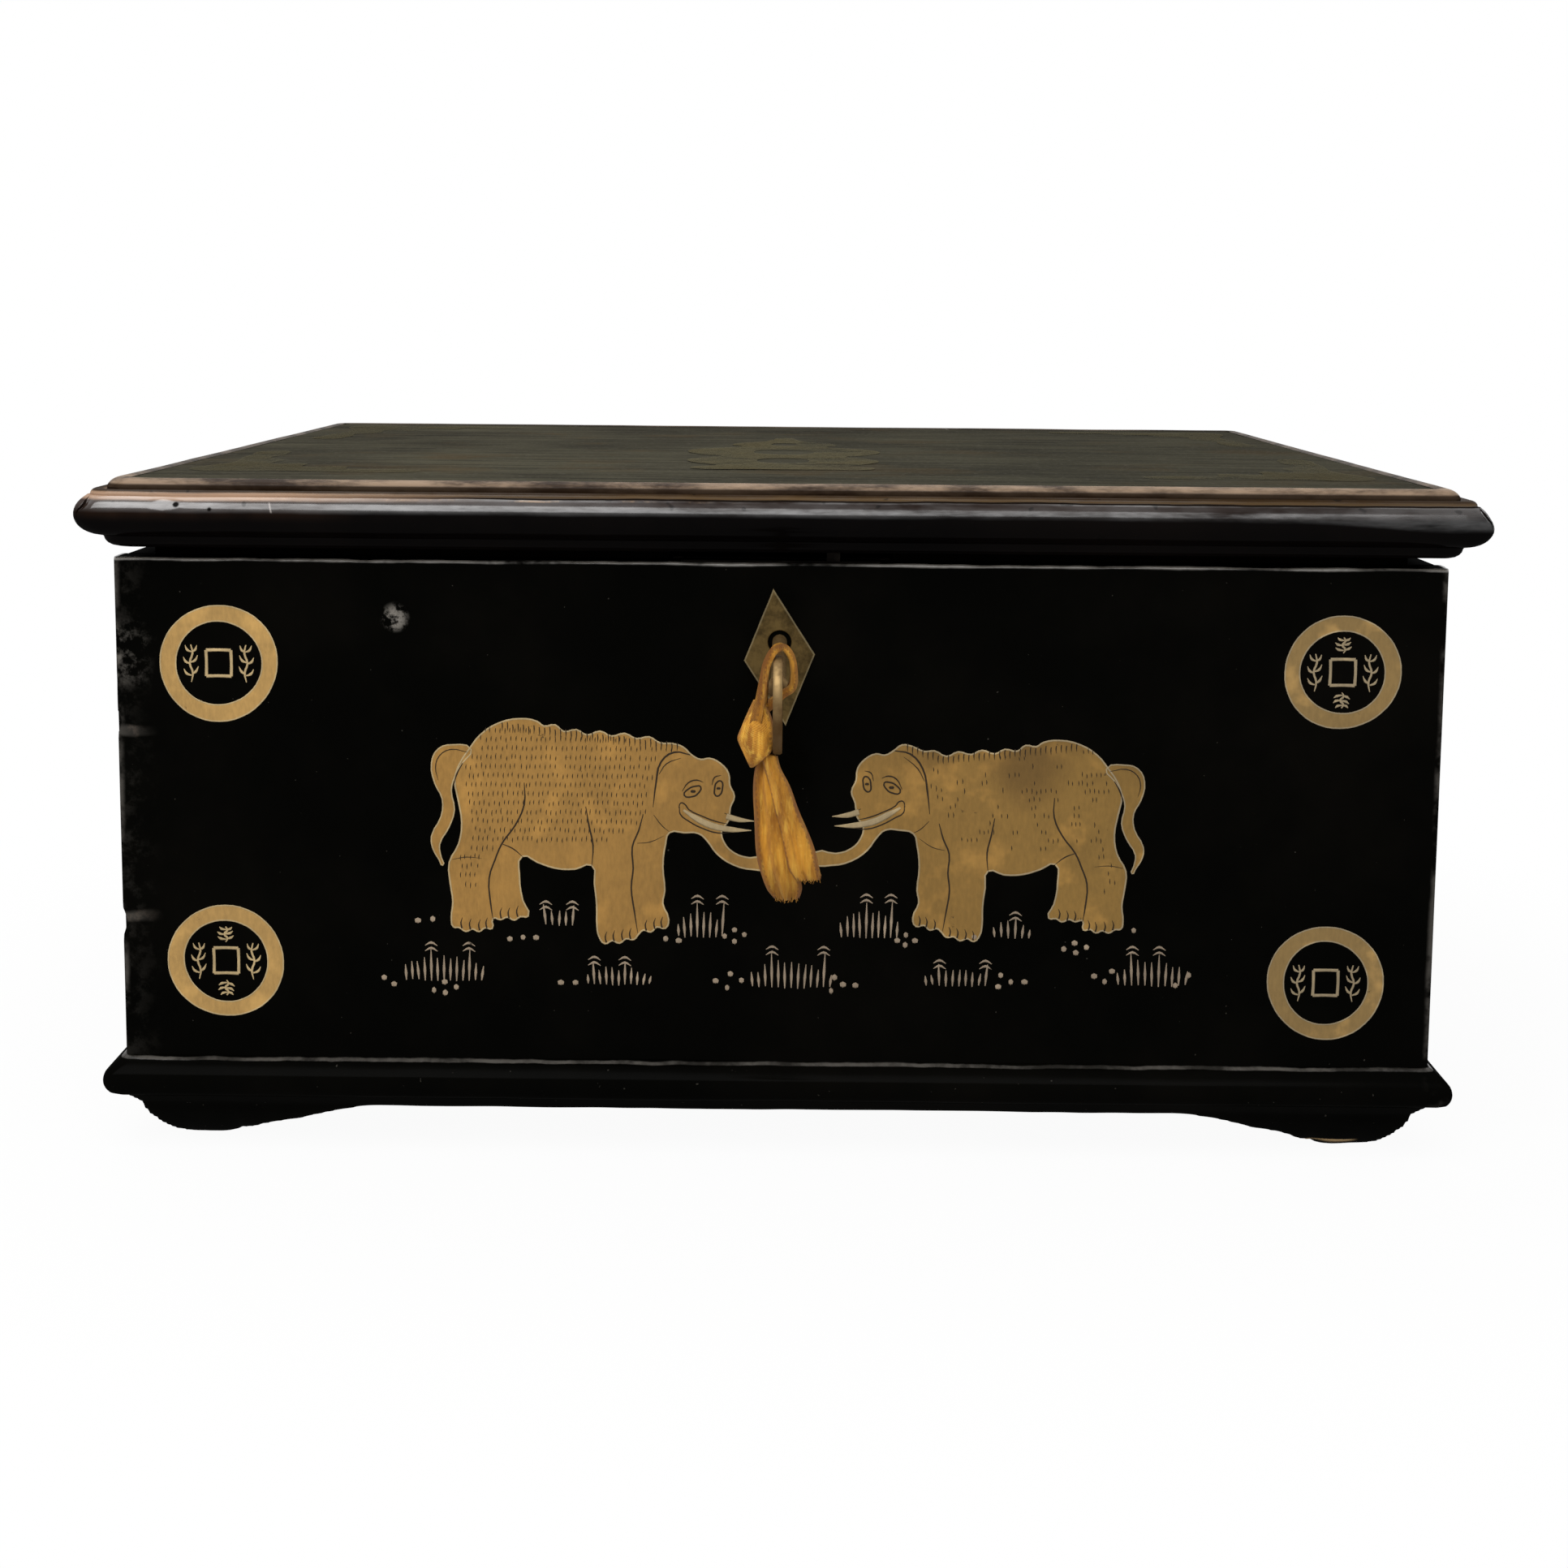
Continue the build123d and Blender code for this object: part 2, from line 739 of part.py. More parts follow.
# --- strike: a plate let in flush under the front of the lid, with the staple that the bolt enters -------
strike_left = staple_centre - staple_width / 2 - strike_end
strike_right = staple_centre + staple_width / 2 + strike_end
strike_screw_places = [
    Location((staple_centre + offset, bolt_y, lid_bottom), (180, 0, 0))
    for offset in (-strike_screw_offset, strike_screw_offset)
]
strike_screw_holes = screw_group(strike_screw_places, strike_screw_length, slotted=False)
eye_floor = bolt_low - 2 * staple_clearance

with BuildPart() as strike_plate:
    add(
        box_between(
            (strike_left, bolt_y - strike_half_width, lid_bottom),
            (strike_right, bolt_y + strike_half_width, lid_bottom + strike_thickness),
        )
    )
    add(
        box_between(
            (staple_centre - staple_width / 2, bolt_y - staple_half, eye_floor - staple_wire),
            (staple_centre + staple_width / 2, bolt_y + staple_half, lid_bottom),
        )
    )
    add(
        box_between(
            (staple_centre - staple_width, bolt_y - eye_half, eye_floor),
            (staple_centre + staple_width, bolt_y + eye_half, lid_bottom),
        ),
        mode=Mode.SUBTRACT,
    )
    add(strike_screw_holes, mode=Mode.SUBTRACT)
save(strike_plate.part, "strike_plate")
save(screw_group(strike_screw_places, strike_screw_length), "strike_screws")

with BuildPart() as lid_moulding_front:
    add(lid_rails["front"])
    add(
        box_between(
            (strike_left - lock_fit, bolt_y - strike_half_width - lock_fit, lid_bottom - 1),
            (
                strike_right + lock_fit,
                bolt_y + strike_half_width + lock_fit,
                lid_bottom + strike_thickness,
            ),
        ),
        mode=Mode.SUBTRACT,
    )
    add(strike_screw_holes, mode=Mode.SUBTRACT)
save(lid_moulding_front.part, "lid_moulding_front")


# --- key, drooping a little in its keyhole, bit and bow upright -------------------------------------------
bow_centre = key_plane.origin + key_axis * bow_distance
bow_plane = Plane(origin=bow_centre, x_dir=key_axis, z_dir=(1, 0, 0))
shank_end = bow_distance - bow_half_length + bow_rim / 2
with BuildPart() as key:
    with BuildSketch(key_plane.offset(-key_inside)):
        Circle(shank_radius)
    extrude(amount=key_inside + shank_end)
    with BuildSketch(key_plane.offset(shank_end - bow_rim / 2 - collar_length)):
        Circle(collar_radius)
    extrude(amount=collar_length)
    with BuildSketch(key_plane.offset(-bit_start - bit_length)):
        with Locations((0, -bit_reach / 2)):
            Rectangle(bit_thickness, bit_reach)
    extrude(amount=bit_length)
    with BuildSketch(bow_plane):
        Ellipse(bow_half_length, bow_half_height)
    extrude(amount=bow_thickness / 2, both=True)
    with BuildSketch(bow_plane):
        Ellipse(bow_half_length - bow_rim, bow_half_height - bow_rim)
    extrude(amount=bow_thickness, both=True, mode=Mode.SUBTRACT)
save(key.part, "key")


# --- ribbon: the knotted ends hanging under the bow --------------------------------------------------------
ribbon_top = bow_centre.Z - (bow_half_height + ribbon_clearance)
with BuildPart() as ribbon:
    with BuildSketch(Plane(origin=bow_centre, x_dir=(1, 0, 0), z_dir=(0, -1, 0))):
        with BuildLine():
            Polyline(
                (ribbon_top_left, ribbon_top - bow_centre.Z),
                (ribbon_top_right, ribbon_top - bow_centre.Z),
                (ribbon_low_right, ribbon_top - bow_centre.Z - ribbon_drop),
                (ribbon_low_left, ribbon_top - bow_centre.Z - ribbon_drop),
                close=True,
            )
        make_face()
    extrude(amount=ribbon_thickness / 2, both=True)
    fillet(ribbon.edges().filter_by(Axis.Y), radius=ribbon_edge)
save(ribbon.part, "ribbon")
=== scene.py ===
"""Lacquered deed box with gilt figures: the looks of every piece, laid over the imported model."""

from cmath import phase, rect
from math import cos, pi, radians, sin, sqrt

import bpy
from mathutils import Matrix, Vector, noise


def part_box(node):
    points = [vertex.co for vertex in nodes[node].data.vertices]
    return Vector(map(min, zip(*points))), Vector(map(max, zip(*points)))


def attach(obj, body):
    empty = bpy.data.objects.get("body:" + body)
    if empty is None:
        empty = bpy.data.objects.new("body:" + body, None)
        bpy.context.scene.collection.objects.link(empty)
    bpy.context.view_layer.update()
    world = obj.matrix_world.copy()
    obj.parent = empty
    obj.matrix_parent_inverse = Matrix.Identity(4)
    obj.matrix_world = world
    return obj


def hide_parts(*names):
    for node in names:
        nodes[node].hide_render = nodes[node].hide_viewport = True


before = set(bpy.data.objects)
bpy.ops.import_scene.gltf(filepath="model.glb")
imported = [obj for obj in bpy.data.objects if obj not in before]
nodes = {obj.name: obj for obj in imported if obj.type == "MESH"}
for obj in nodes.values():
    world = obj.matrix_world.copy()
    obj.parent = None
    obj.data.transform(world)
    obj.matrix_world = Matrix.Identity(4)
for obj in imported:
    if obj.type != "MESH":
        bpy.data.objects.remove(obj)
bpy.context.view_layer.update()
mm = 0.001

# ---------------------------------------------------------------- plinth: foot rails and base mouldings
# Softwood, mitred and glued into two frames, then lacquered black over a thin ground. The foot rails
# are worn soft; the base mouldings are run by hand plane, so their faces wander a little.


def maths(operation, turned_round=False):
    """A way to join a layer with others, or with numbers, by a Math node."""

    def join(*values):
        sockets = dict(enumerate(reversed(values) if turned_round else values))
        return values[0].node("ShaderNodeMath", {"operation": operation}, sockets)

    return join


class Layer:
    """One step of a finish."""

    __add__ = __radd__ = maths("ADD")
    __mul__ = __rmul__ = maths("MULTIPLY")
    __sub__, __rsub__ = maths("SUBTRACT"), maths("SUBTRACT", turned_round=True)
    __abs__, larger, sine = maths("ABSOLUTE"), maths("MAXIMUM"), maths("SINE")

    def __init__(self, tree, socket=None):
        self.tree, self.socket = tree, socket

    def node(self, kind, settings, sockets, output=0):
        """Add a node: its settings, then the value or link of each socket."""
        made = self.tree.nodes.new(kind)
        for key, value in settings.items():
            setattr(made, key, value)
        for key, value in sockets.items():
            if isinstance(value, Layer):
                self.tree.links.new(value.socket, made.inputs[key])
            else:
                made.inputs[key].default_value = value
        return Layer(self.tree, made.outputs[output])

    def between(self, start, end):
        """0 where this is at start, 1 where it is at end, smooth between; either may be the larger."""
        sockets = {"Value": self, "From Min": start, "From Max": end}
        return self.node("ShaderNodeMapRange", {"interpolation_type": "SMOOTHSTEP"}, sockets)

    def band(self, start, full, fading, end):
        """1 from full to fading, and 0 before start and past end."""
        return self.between(start, full) * self.between(end, fading)

    def blend(self, start, end):
        """A colour from start to end by this layer, each a layer or a paint colour from 0 to 255."""
        sockets = {0: self}
        for key, value in ((6, start), (7, end)):
            sockets[key] = value if isinstance(value, Layer) else (*map(linear, value), 1)
        return self.node("ShaderNodeMix", {"data_type": "RGBA", "clamp_factor": True}, sockets, 2)

    def covered(self, *coats):
        """This colour with coats over it, each given as how far it covers and its colour."""
        colour = self
        for share, paint in coats:
            colour = share.blend(colour, paint)
        return colour


def linear(seen):
    """A part of a paint colour as it is seen, from 0 to 255, made linear for the shader."""
    part = seen / 255
    return part / 12.92 if part <= 0.04045 else ((part + 0.055) / 1.055) ** 2.4


class Finish:
    """A finish under work: its material, and where on the piece each point is."""

    def __init__(self, name, **numbers):
        self.material = bpy.data.materials.new(name)
        self.material.use_nodes = True
        self.surface = self.material.node_tree.nodes["Principled BSDF"]
        self.layer = Layer(self.material.node_tree)
        self.node = self.layer.node
        self.place = self.node("ShaderNodeTexCoord", {}, {}, 3)
        self.x, self.y, self.z = self.parts(self.place, 3)
        self.lay(**{"specular_ior_level": 0, **numbers})

    def parts(self, vector, count):
        return (self.node("ShaderNodeSeparateXYZ", {}, {"Vector": vector}, i) for i in range(count))

    def distance(self, spot):
        """How far a point of the surface is from a spot."""
        return self.node("ShaderNodeVectorMath", {"operation": "DISTANCE"}, {0: self.place, 1: spot}, 1)

    def cloud(self, size, detail=4, rough=0.6, stretch=(1, 1, 1), seed=0):
        """Noise whose patches are about size metres across, stretched along an axis if asked."""
        moved = {"Vector": self.place, "Location": (seed,) * 3, "Scale": stretch}
        place = self.node("ShaderNodeMapping", {}, moved)
        grain = {"Vector": place, "Scale": 1 / size, "Detail": detail, "Roughness": rough}
        return self.node("ShaderNodeTexNoise", {}, grain)

    def relief(self, height, depth):
        """A bump whose full height is depth metres."""
        return self.node("ShaderNodeBump", {}, {"Height": height, "Distance": depth, "Strength": 1})

    def lay(self, **layers):
        """Join layers or plain values to the surface's sockets of those names; give the material."""
        for name, value in layers.items():
            socket = self.surface.inputs[name.replace("_", " ").title().replace("Ior", "IOR")]
            if isinstance(value, Layer):
                self.layer.tree.links.new(value.socket, socket)
            else:
                socket.default_value = value
        return self.material


board_low, board_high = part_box("front_board")
body_half_length = board_high.x
body_front, body_back = board_low.y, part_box("back_board")[1].y
body_half_depth = (body_back - body_front) / 2
body_middle = (body_front + body_back) / 2
body_foot, body_top = board_low.z, board_high.z
wall = board_high.y - board_low.y


def aged_wood(finish, light, dark):
    """Planed softwood, browned by age: long grain along x, with darker lines."""
    rings = finish.cloud(0.0035, stretch=(0.05, 1, 1), seed=6)
    fibre = finish.cloud(0.0007, 3, stretch=(0.03, 1, 1), seed=9)
    share = rings * 0.45 + fibre * 0.35 + finish.cloud(0.11, seed=2) * 0.7 - 0.3
    return share.between(0.15, 0.8).blend(dark, light), rings * 0.5 + fibre * 0.5


def old_lacquer(name, wear_and_highlight_places, under, inside=None):
    """Old black lacquer: faint clouds, hairline cracks and dust, painted grey where rubbed or where a painted
    highlight stands.

    The second argument takes the finish and returns how far each point is painted grey, for wear or as a
    painted highlight, how far the wood below shows, and how far it is polished. inside says where the box's
    bare inner faces are.
    """
    finish = Finish(name, coat_roughness=0.18, coat_ior=1.7)
    clouds = finish.cloud(0.055)
    fine = finish.cloud(0.0016, 3, seed=3.1)
    streaks = finish.cloud(0.004, 3, 0.55, stretch=(1, 1, 0.06), seed=1.7)
    dust = finish.cloud(0.0013, 1, 0.4, seed=5.3).between(0.785, 0.82)
    rubbed, bared, polished = wear_and_highlight_places(finish)
    grain = finish.cloud(0.003, stretch=(0.05, 1, 1), seed=2.2).blend(under, [part + 44 for part in under])
    colour = clouds.between(0.35, 0.8).blend((3, 3, 2), (8, 7, 5))
    # the grey coat is wear, and on the body partly painted highlights
    colour = colour.covered((dust * 0.25, (96, 92, 84)), (rubbed * 0.9, (124, 119, 112)), (bared, grain))
    rough = 0.3 + clouds * 0.12 + fine * 0.08 + rubbed * 0.16 + bared * 0.25
    height = fine * 0.25 + streaks * 0.45 + clouds * 0.6 - bared * 0.8 - rubbed * 0.3
    if inside is not None:
        within = inside(finish)
        wood_colour, wood_height = aged_wood(finish, (116, 84, 54), (66, 45, 28))
        colour = within.blend(colour, wood_colour)
        rough = rough + within * 0.35
        height = height + within * wood_height
    relief = finish.relief(height, 0.00022)
    return finish.lay(base_color=colour, roughness=rough, coat_weight=polished, normal=relief)


def plinth_wear(finish):
    """The plinth is rubbed along its upper edge and at the corners, and bare under one foot."""
    edge = finish.cloud(0.018, seed=8)
    rise = finish.z - body_foot + edge * 0.0012
    upper = rise.band(-0.0005, -0.0002, 0.0002, 0.0005)
    upper = upper * (0.25 + finish.cloud(0.02, 5, 0.7, seed=4).between(0.36, 0.62))
    ends = abs(finish.x).between(0.196, 0.203) * abs(finish.y - body_middle).between(0.154, 0.162)
    corner = ends * edge.between(0.5, 0.7)
    under = (finish.z + edge * 0.001).between(0.0035, 0.0030) * finish.y.between(-0.12, -0.122)
    under = under * finish.x.band(0.1632, 0.1650, 0.1790, 0.1824)
    return upper * 0.36 + corner * 0.15, under, upper * 0.5 + 0.012


# painted light: the bare wood under one foot is given a paler colour than the wood has, to lift it out of its
# shade
plinth_finish = old_lacquer("plinth_lacquer", plinth_wear, (205, 170, 120))


def hold(*pieces):
    """Select these pieces alone, so that an operator acts on nothing else."""
    bpy.ops.object.select_all(action="DESELECT")
    for piece in pieces:
        piece.select_set(True)
    if pieces:
        bpy.context.view_layer.objects.active = pieces[0]


def new_piece(add, name, **sizes):
    """Start a piece from a primitive."""
    hold()
    add(**sizes)
    piece = bpy.context.object
    piece.name = piece.data.name = name
    return piece


def close_up(piece, ends=True):
    """Merge a mesh's doubled points; cap its open ends and turn its faces outwards."""
    hold(piece)
    bpy.ops.object.mode_set(mode="EDIT")
    bpy.ops.mesh.select_all(action="SELECT")
    bpy.ops.mesh.remove_doubles(threshold=0.01 * mm)
    if ends:
        bpy.ops.mesh.select_all(action="DESELECT")
        bpy.ops.mesh.select_mode(type="EDGE")
        bpy.ops.mesh.select_non_manifold()
        bpy.ops.mesh.fill_holes(sides=0)
        bpy.ops.mesh.select_all(action="SELECT")
        bpy.ops.mesh.normals_make_consistent(inside=False)
    bpy.ops.object.mode_set(mode="OBJECT")


def work(piece, kind, **settings):
    """Finish a piece with a modifier, and apply it."""
    hold(piece)
    bpy.ops.object.modifier_add(type=kind)
    for key, value in settings.items():
        setattr(piece.modifiers[0], key, value)
    bpy.ops.object.modifier_apply(modifier=piece.modifiers[0].name)


def fit(piece, finish, body, slot, *stands_for):
    """Give a piece its finish, the body it moves with and the plain piece it replaces; slot is not used."""
    piece.data.materials.clear()
    piece.data.materials.append(finish)
    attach(piece, body)
    for name in stands_for:
        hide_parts(name)


def finer(section, step):
    """A closed section with its long runs divided, so that the face can carry hollows."""
    made = []
    for start, end in zip(section, section[1:] + section[:1]):
        run = Vector(end) - Vector(start)
        count = max(1, round(run.length / step))
        made += [Vector(start) + run * i / count for i in range(count)]
    return made


def curve_points(start, middle, end, count):
    """Points on the arc through three points of a section, its start included and its end not."""
    a, b, c = (complex(*point) for point in (start, middle, end))
    ratio = (c - a) / (b - a)
    centre = a + (b - a) * (ratio - abs(ratio) ** 2) / (2j * ratio.imag)
    sweep = phase((b - centre) / (a - centre)) + phase((c - centre) / (b - centre))
    points = [centre + (a - centre) * rect(1, sweep * i / count) for i in range(count)]
    return [(point.real, point.imag) for point in points]


# the way out of each side, and how far in mm its mitred corners are rubbed round: at its start and end
sides = {"front": (0, -1, 0), "back": (0, 1, 0), "left": (-1, 0, 0), "right": (1, 0, 0)}
rubbed_corners = {"front": (8.0, 3.5), "right": (3.5, 4.0), "back": (4.0, 5.0), "left": (5.0, 8.0)}


def planed_length(name, side, foot, section, step, spots, rub=0):
    """A length of wood along a side of the box, planed to one section.

    section lists (outwards from the body's face, height above foot) in mm, and spots are the places
    along the length, from -1 to 1. Its ends are mitred and rubbed round in plan by a share of the
    side's corner radii, or square where rub is 0.
    """
    out = Vector(sides[side])
    along = Vector((-out.y, out.x, 0))
    half, away = (body_half_length, body_half_depth) if out.y else (body_half_depth, body_half_length)
    section = finer(section, step)
    counts = {"x_subdivisions": len(spots) - 1, "y_subdivisions": len(section)}
    piece = new_piece(bpy.ops.mesh.primitive_grid_add, name, **counts)
    for i, vertex in enumerate(piece.data.vertices):
        row, column = divmod(i, len(spots))
        across, up = section[row % len(section)] * mm
        reach = half + (across if rub else 0)
        run, inset = spots[column] * reach, 0.0
        radius = rubbed_corners[side][run >= 0] * rub * mm
        if abs(run) > reach - radius > 0:
            angle = (1 - (reach - abs(run)) / radius) * pi / 4
            run = (reach - radius + radius * sin(angle)) * (1 if run > 0 else -1)
            inset = radius * (1 - cos(angle))
        vertex.co = out * (away + across - inset) + along * run + Vector((0, body_middle, foot + up))
    close_up(piece)
    bpy.ops.object.shade_smooth_by_angle(angle=radians(32))
    return piece


def hand_worn(piece, amount, faces_out, hollows=()):
    """Let the outer faces wander by amount, and press hollows into them.

    A hollow is its place across, before the body's face and up, then its radius and depth, all in mm.
    """
    piece.data.update()
    moves = []
    for vertex in piece.data.vertices:
        place, shift = vertex.co, 0.0
        if faces_out(place):
            wave = noise.noise(place * 16) + 0.45 * noise.noise(place * 55 + Vector((7, 3, 1)))
            shift = amount * (wave - 0.5)
            for across, before, up, radius, depth in hollows:
                centre = Vector((across * mm, body_front - before * mm, up * mm))
                near = (place - centre).length / (radius * mm)
                if near < 1:
                    shift -= depth * (1 - near * near) ** 2
        moves.append(vertex.normal * shift * mm)
    for vertex, move in zip(piece.data.vertices, moves):
        vertex.co += move
    piece.data.update()


def corner_spots(count):
    """Places along a length from -1 to 1, closer together at both ends."""
    ends = [-1 + 0.045 * i / 12 for i in range(12)]
    return ends + [0.955 * (2 * i / count - 1) for i in range(count + 1)] + [-end for end in reversed(ends)]


# the foot rails are sawn to a low scallop and have worn soft at every edge
underside_step = 2 * mm
for side, out in sides.items():
    rail = new_piece(bpy.ops.mesh.primitive_cube_add, f"foot_rail_{side}_worn")
    rail.data = nodes[f"foot_rail_{side}"].data.copy()
    rail.data.name = rail.name
    close_up(rail, ends=False)
    work(rail, "REMESH", mode="VOXEL", voxel_size=1.1 * mm)
    work(rail, "SMOOTH", factor=0.5, iterations=7)
    axis = 0 if out[1] else 1
    under = {}
    for vertex in rail.data.vertices:
        spot = round(vertex.co[axis] / underside_step)
        under[spot] = min(under.get(spot, 1.0), vertex.co.z)
    first, last = min(under), max(under)
    rise = {}
    for spot in under:
        reach = min(max(min(spot - first, last - spot) - 7, 0), 3)
        near = [under[n] for n in range(spot - reach, spot + reach + 1) if n in under]
        rise[spot] = sum(near) / len(near) - under[spot]
    for vertex in rail.data.vertices:
        place = vertex.co
        spot, part = divmod(place[axis] / underside_step, 1)
        eased = rise.get(spot, 0.0) * (1 - part) + rise.get(spot + 1, 0.0) * part
        uneven = noise.noise(Vector((place.x * 26, place.y * 26, 9))) + 0.5 * noise.noise(place * 90)
        eased += 0.9 * mm * max(0.0, 0.35 + uneven) - 0.7 * mm
        place.z = max(0.0, place.z + eased * min(1.0, max(0.0, 1.2 - place.z / (14 * mm))))
    hand_worn(rail, 0.2, lambda p: p.z < 14 * mm)
    bpy.ops.object.shade_smooth()
    fit(rail, plinth_finish, "box", "plinth_lacquer", f"foot_rail_{side}")

base_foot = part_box("base_moulding_front")[0].z
base_height = (body_foot - base_foot) / mm
base_section = [
    (0.7, 0), (-24, 0), (-24, base_height), (0, base_height), (1, base_height - 0.25),
    (4.9, base_height - 3.6), *curve_points((5.6, base_height - 4.5), (6.2, 5), (4.9, 1.6), 8),
    (4.9, 1.6), (3.4, 0.7),
]
for side in sides:
    base = planed_length(f"base_run_{side}", side, base_foot, base_section, 2.5, corner_spots(120), 0.5)
    hand_worn(base, 0.22, lambda p: base_foot + 0.4 * mm < p.z < body_foot - 0.1 * mm)
    fit(base, plinth_finish, "box", "plinth_lacquer", f"base_moulding_{side}")

# ---------------------------------------------------------------- body: bottom, side, back and front boards
# Softwood boards lapped and glued at the corners, black outside and left bare inside. The front
# board carries a knot hollow and a few knocks at its left end under the lacquer.


def body_wear_and_highlights(finish):
    """Rubbed grey along the upright edges, bare where the left end was knocked; grey along the mouth, partly
    wear and partly a painted highlight on the rounded top edge, and a painted glint in the knot hollow.
    """
    waver = finish.cloud(0.02, seed=12)
    patch = finish.cloud(0.03, 5, 0.7, seed=14)
    depth = finish.y - body_front
    near_face = depth.between(0.003, 0.001)
    at_edge = depth.between(0.0014, 0.0008).larger(abs(finish.x).between(0.1988, 0.1996))
    rise = finish.z - body_top + waver * 0.0014 - 0.0007
    # painted highlight: the grey line along the mouth stands partly for light on the rounded top edge
    mouth = rise.between(-0.0012, -0.0004) * at_edge * patch.between(0.30, 0.5)
    upright = (abs(finish.x) + waver * 0.002).between(0.1985, 0.2002) * patch.between(0.46, 0.62)
    left = (finish.x + waver * 0.012).between(-0.180, -0.197)
    scuffs = finish.cloud(0.007, 5, 0.7, seed=21).between(0.46, 0.66)
    knocks = abs(finish.z - 0.1335 + waver * 0.004).between(0.0022, 0.0008)
    knocks = knocks + abs(finish.z - 0.0715 - waver * 0.004).between(0.0024, 0.0006)
    high = finish.z.band(0.143, 0.149, 0.159, 0.166)
    # the grey carries real wear, the mouth's painted highlight and, below, the knot hollow's painted glint
    rubbed = mouth * 0.95 + upright * near_face * 0.3 + left * scuffs * (0.06 + high * 0.5) * near_face
    rubbed = rubbed.larger(left * knocks * (0.3 + scuffs * 0.3) * near_face)
    # painted glint: a grey patch in the knot hollow stands for light caught there
    hollow = finish.distance((-0.1156, body_front, 0.1663)) + (waver - 0.5) * 0.004
    glint = hollow.between(0.0046, 0.0012) * finish.cloud(0.004, 4, 0.7, seed=37).between(0.44, 0.6)
    away = depth.between(0.002, 0.006)
    scratches = finish.cloud(0.0011, 2, 0.5, stretch=(0.04, 0.03, 1), seed=31).between(0.66, 0.74)
    grip = finish.cloud(0.008, 5, 0.7, seed=33).between(0.5, 0.72) * finish.z.between(0.08, 0.15)
    grip = grip * abs(finish.y - body_middle).between(0.09, 0.02)
    low = (finish.z - body_foot + waver * 0.01).between(0.016, 0.006)
    knocked = low * finish.cloud(0.006, 4, 0.7, seed=35).between(0.56, 0.68)
    side_wear = scratches * patch.between(0.45, 0.6) * 0.35 + grip * 0.22 + knocked * 0.3
    rubbed = rubbed.larger(glint).larger(away * side_wear)
    level = finish.z.between(body_top - 0.0012, body_top - 0.0006)
    return rubbed, left * knocks * scuffs * near_face * 0.5, mouth + away * (1 - level) * 0.1 + 0.01


def body_inside(finish):
    """The inner faces of the boards, up to the lip strips."""
    hollow_x, hollow_y = body_half_length - wall + 0.3 * mm, body_half_depth - wall + 0.3 * mm
    along_x = abs(finish.x).between(hollow_x + 0.1 * mm, hollow_x)
    return along_x * abs(finish.y - body_middle).between(hollow_y + 0.1 * mm, hollow_y)


def coat_node(material, *names):
    """Give CAD pieces a finish in place of the plain one."""
    for name in names:
        slots = nodes[name].data.materials
        slots.clear()
        slots.append(material)


body_finish = old_lacquer("body_lacquer", body_wear_and_highlights, (58, 40, 24), body_inside)
coat_node(body_finish, "left_board", "right_board", "back_board")

board_foot, board_back = (body_foot - body_top) / mm, -wall / mm
front_section = [
    (board_back, board_foot), (0, board_foot), *curve_points((0, -0.9), (-0.26, -0.26), (-0.9, 0), 5),
    (-0.9, 0), (-10, 0), (-10, -7.4), (board_back, -7.4),
]
front_spots = [-1 + d * mm / body_half_length for d in (0, 0.15, 0.4, 0.8, 1.3, 1.9)]
front_spots += [x / 130 for x in range(-128, 129)] + [-s for s in reversed(front_spots)]
front = planed_length("front_board_lacquered", "front", body_top, front_section, 1.7, front_spots)
upright_radius = 1.8 * mm
for vertex in front.data.vertices:
    place = vertex.co
    near = upright_radius - (body_half_length - abs(place.x))
    if near > 0 and place.y < body_front + upright_radius:
        place.y += upright_radius - sqrt(max(0.0, upright_radius * upright_radius - near * near))
    over = place.z - (body_top - 1.6 * mm)
    if over > 0 and place.y < body_front + 6 * mm:
        wave = noise.noise(Vector((place.x * 38, 4, 0))) + 0.5 * noise.noise(Vector((place.x * 140, 7, 0)))
        place.z -= min(over, 1.2 * mm) * max(0.0, 0.12 + 0.35 * wave)
hand_worn(
    front,
    0.04,
    lambda p: p.y < body_front + 2.3 * mm and body_foot + 2 * mm < p.z and abs(p.x) > 18 * mm,
    (
        (-117.4, 0, 167, 8.5, 1.3), (-113.2, 0, 166.2, 4, 0.7), (-199.5, 0, 133.5, 4, 1.6),
        (-196, 0, 133, 4, 0.8), (-199.5, 0, 71.5, 5, 1.5), (-189, 0, 72.4, 4.5, 0.7),
        (-195, 0, 146, 6, 0.5),
    ),
)
fit(front, body_finish, "box", "body_lacquer", "front_board")


def bare_wood(name, specular, light, dark, rough, spread):
    """Softwood without lacquer."""
    finish = Finish(name, specular_ior_level=specular)
    colour, height = aged_wood(finish, light, dark)
    relief = finish.relief(height, 0.0002)
    return finish.lay(base_color=colour, roughness=rough + height * spread, normal=relief)


coat_node(bare_wood("bare_wood", 0.25, (122, 90, 58), (70, 48, 30), 0.72, 0.1), "bottom_board")
lips = [f"lip_{place}" for place in ("back", "left", "right", "front_left", "front_right")]
# painted shade: the lip strips are given near-black wood colours, so that the gap under the lid stays dark
coat_node(bare_wood("lip_wood", 0, (15, 12, 9), (7, 5, 4), 0.55, 0), *lips)

# ---------------------------------------------------------------- gilt painting on the front board
# Gold powder laid over size in flat figures a hair proud of the lacquer: two elephants facing each
# other, a ring with a square eye in each corner, and grass and pebbles below. Dark lines are drawn
# over the gold; the finest strokes are a paler shell gold.


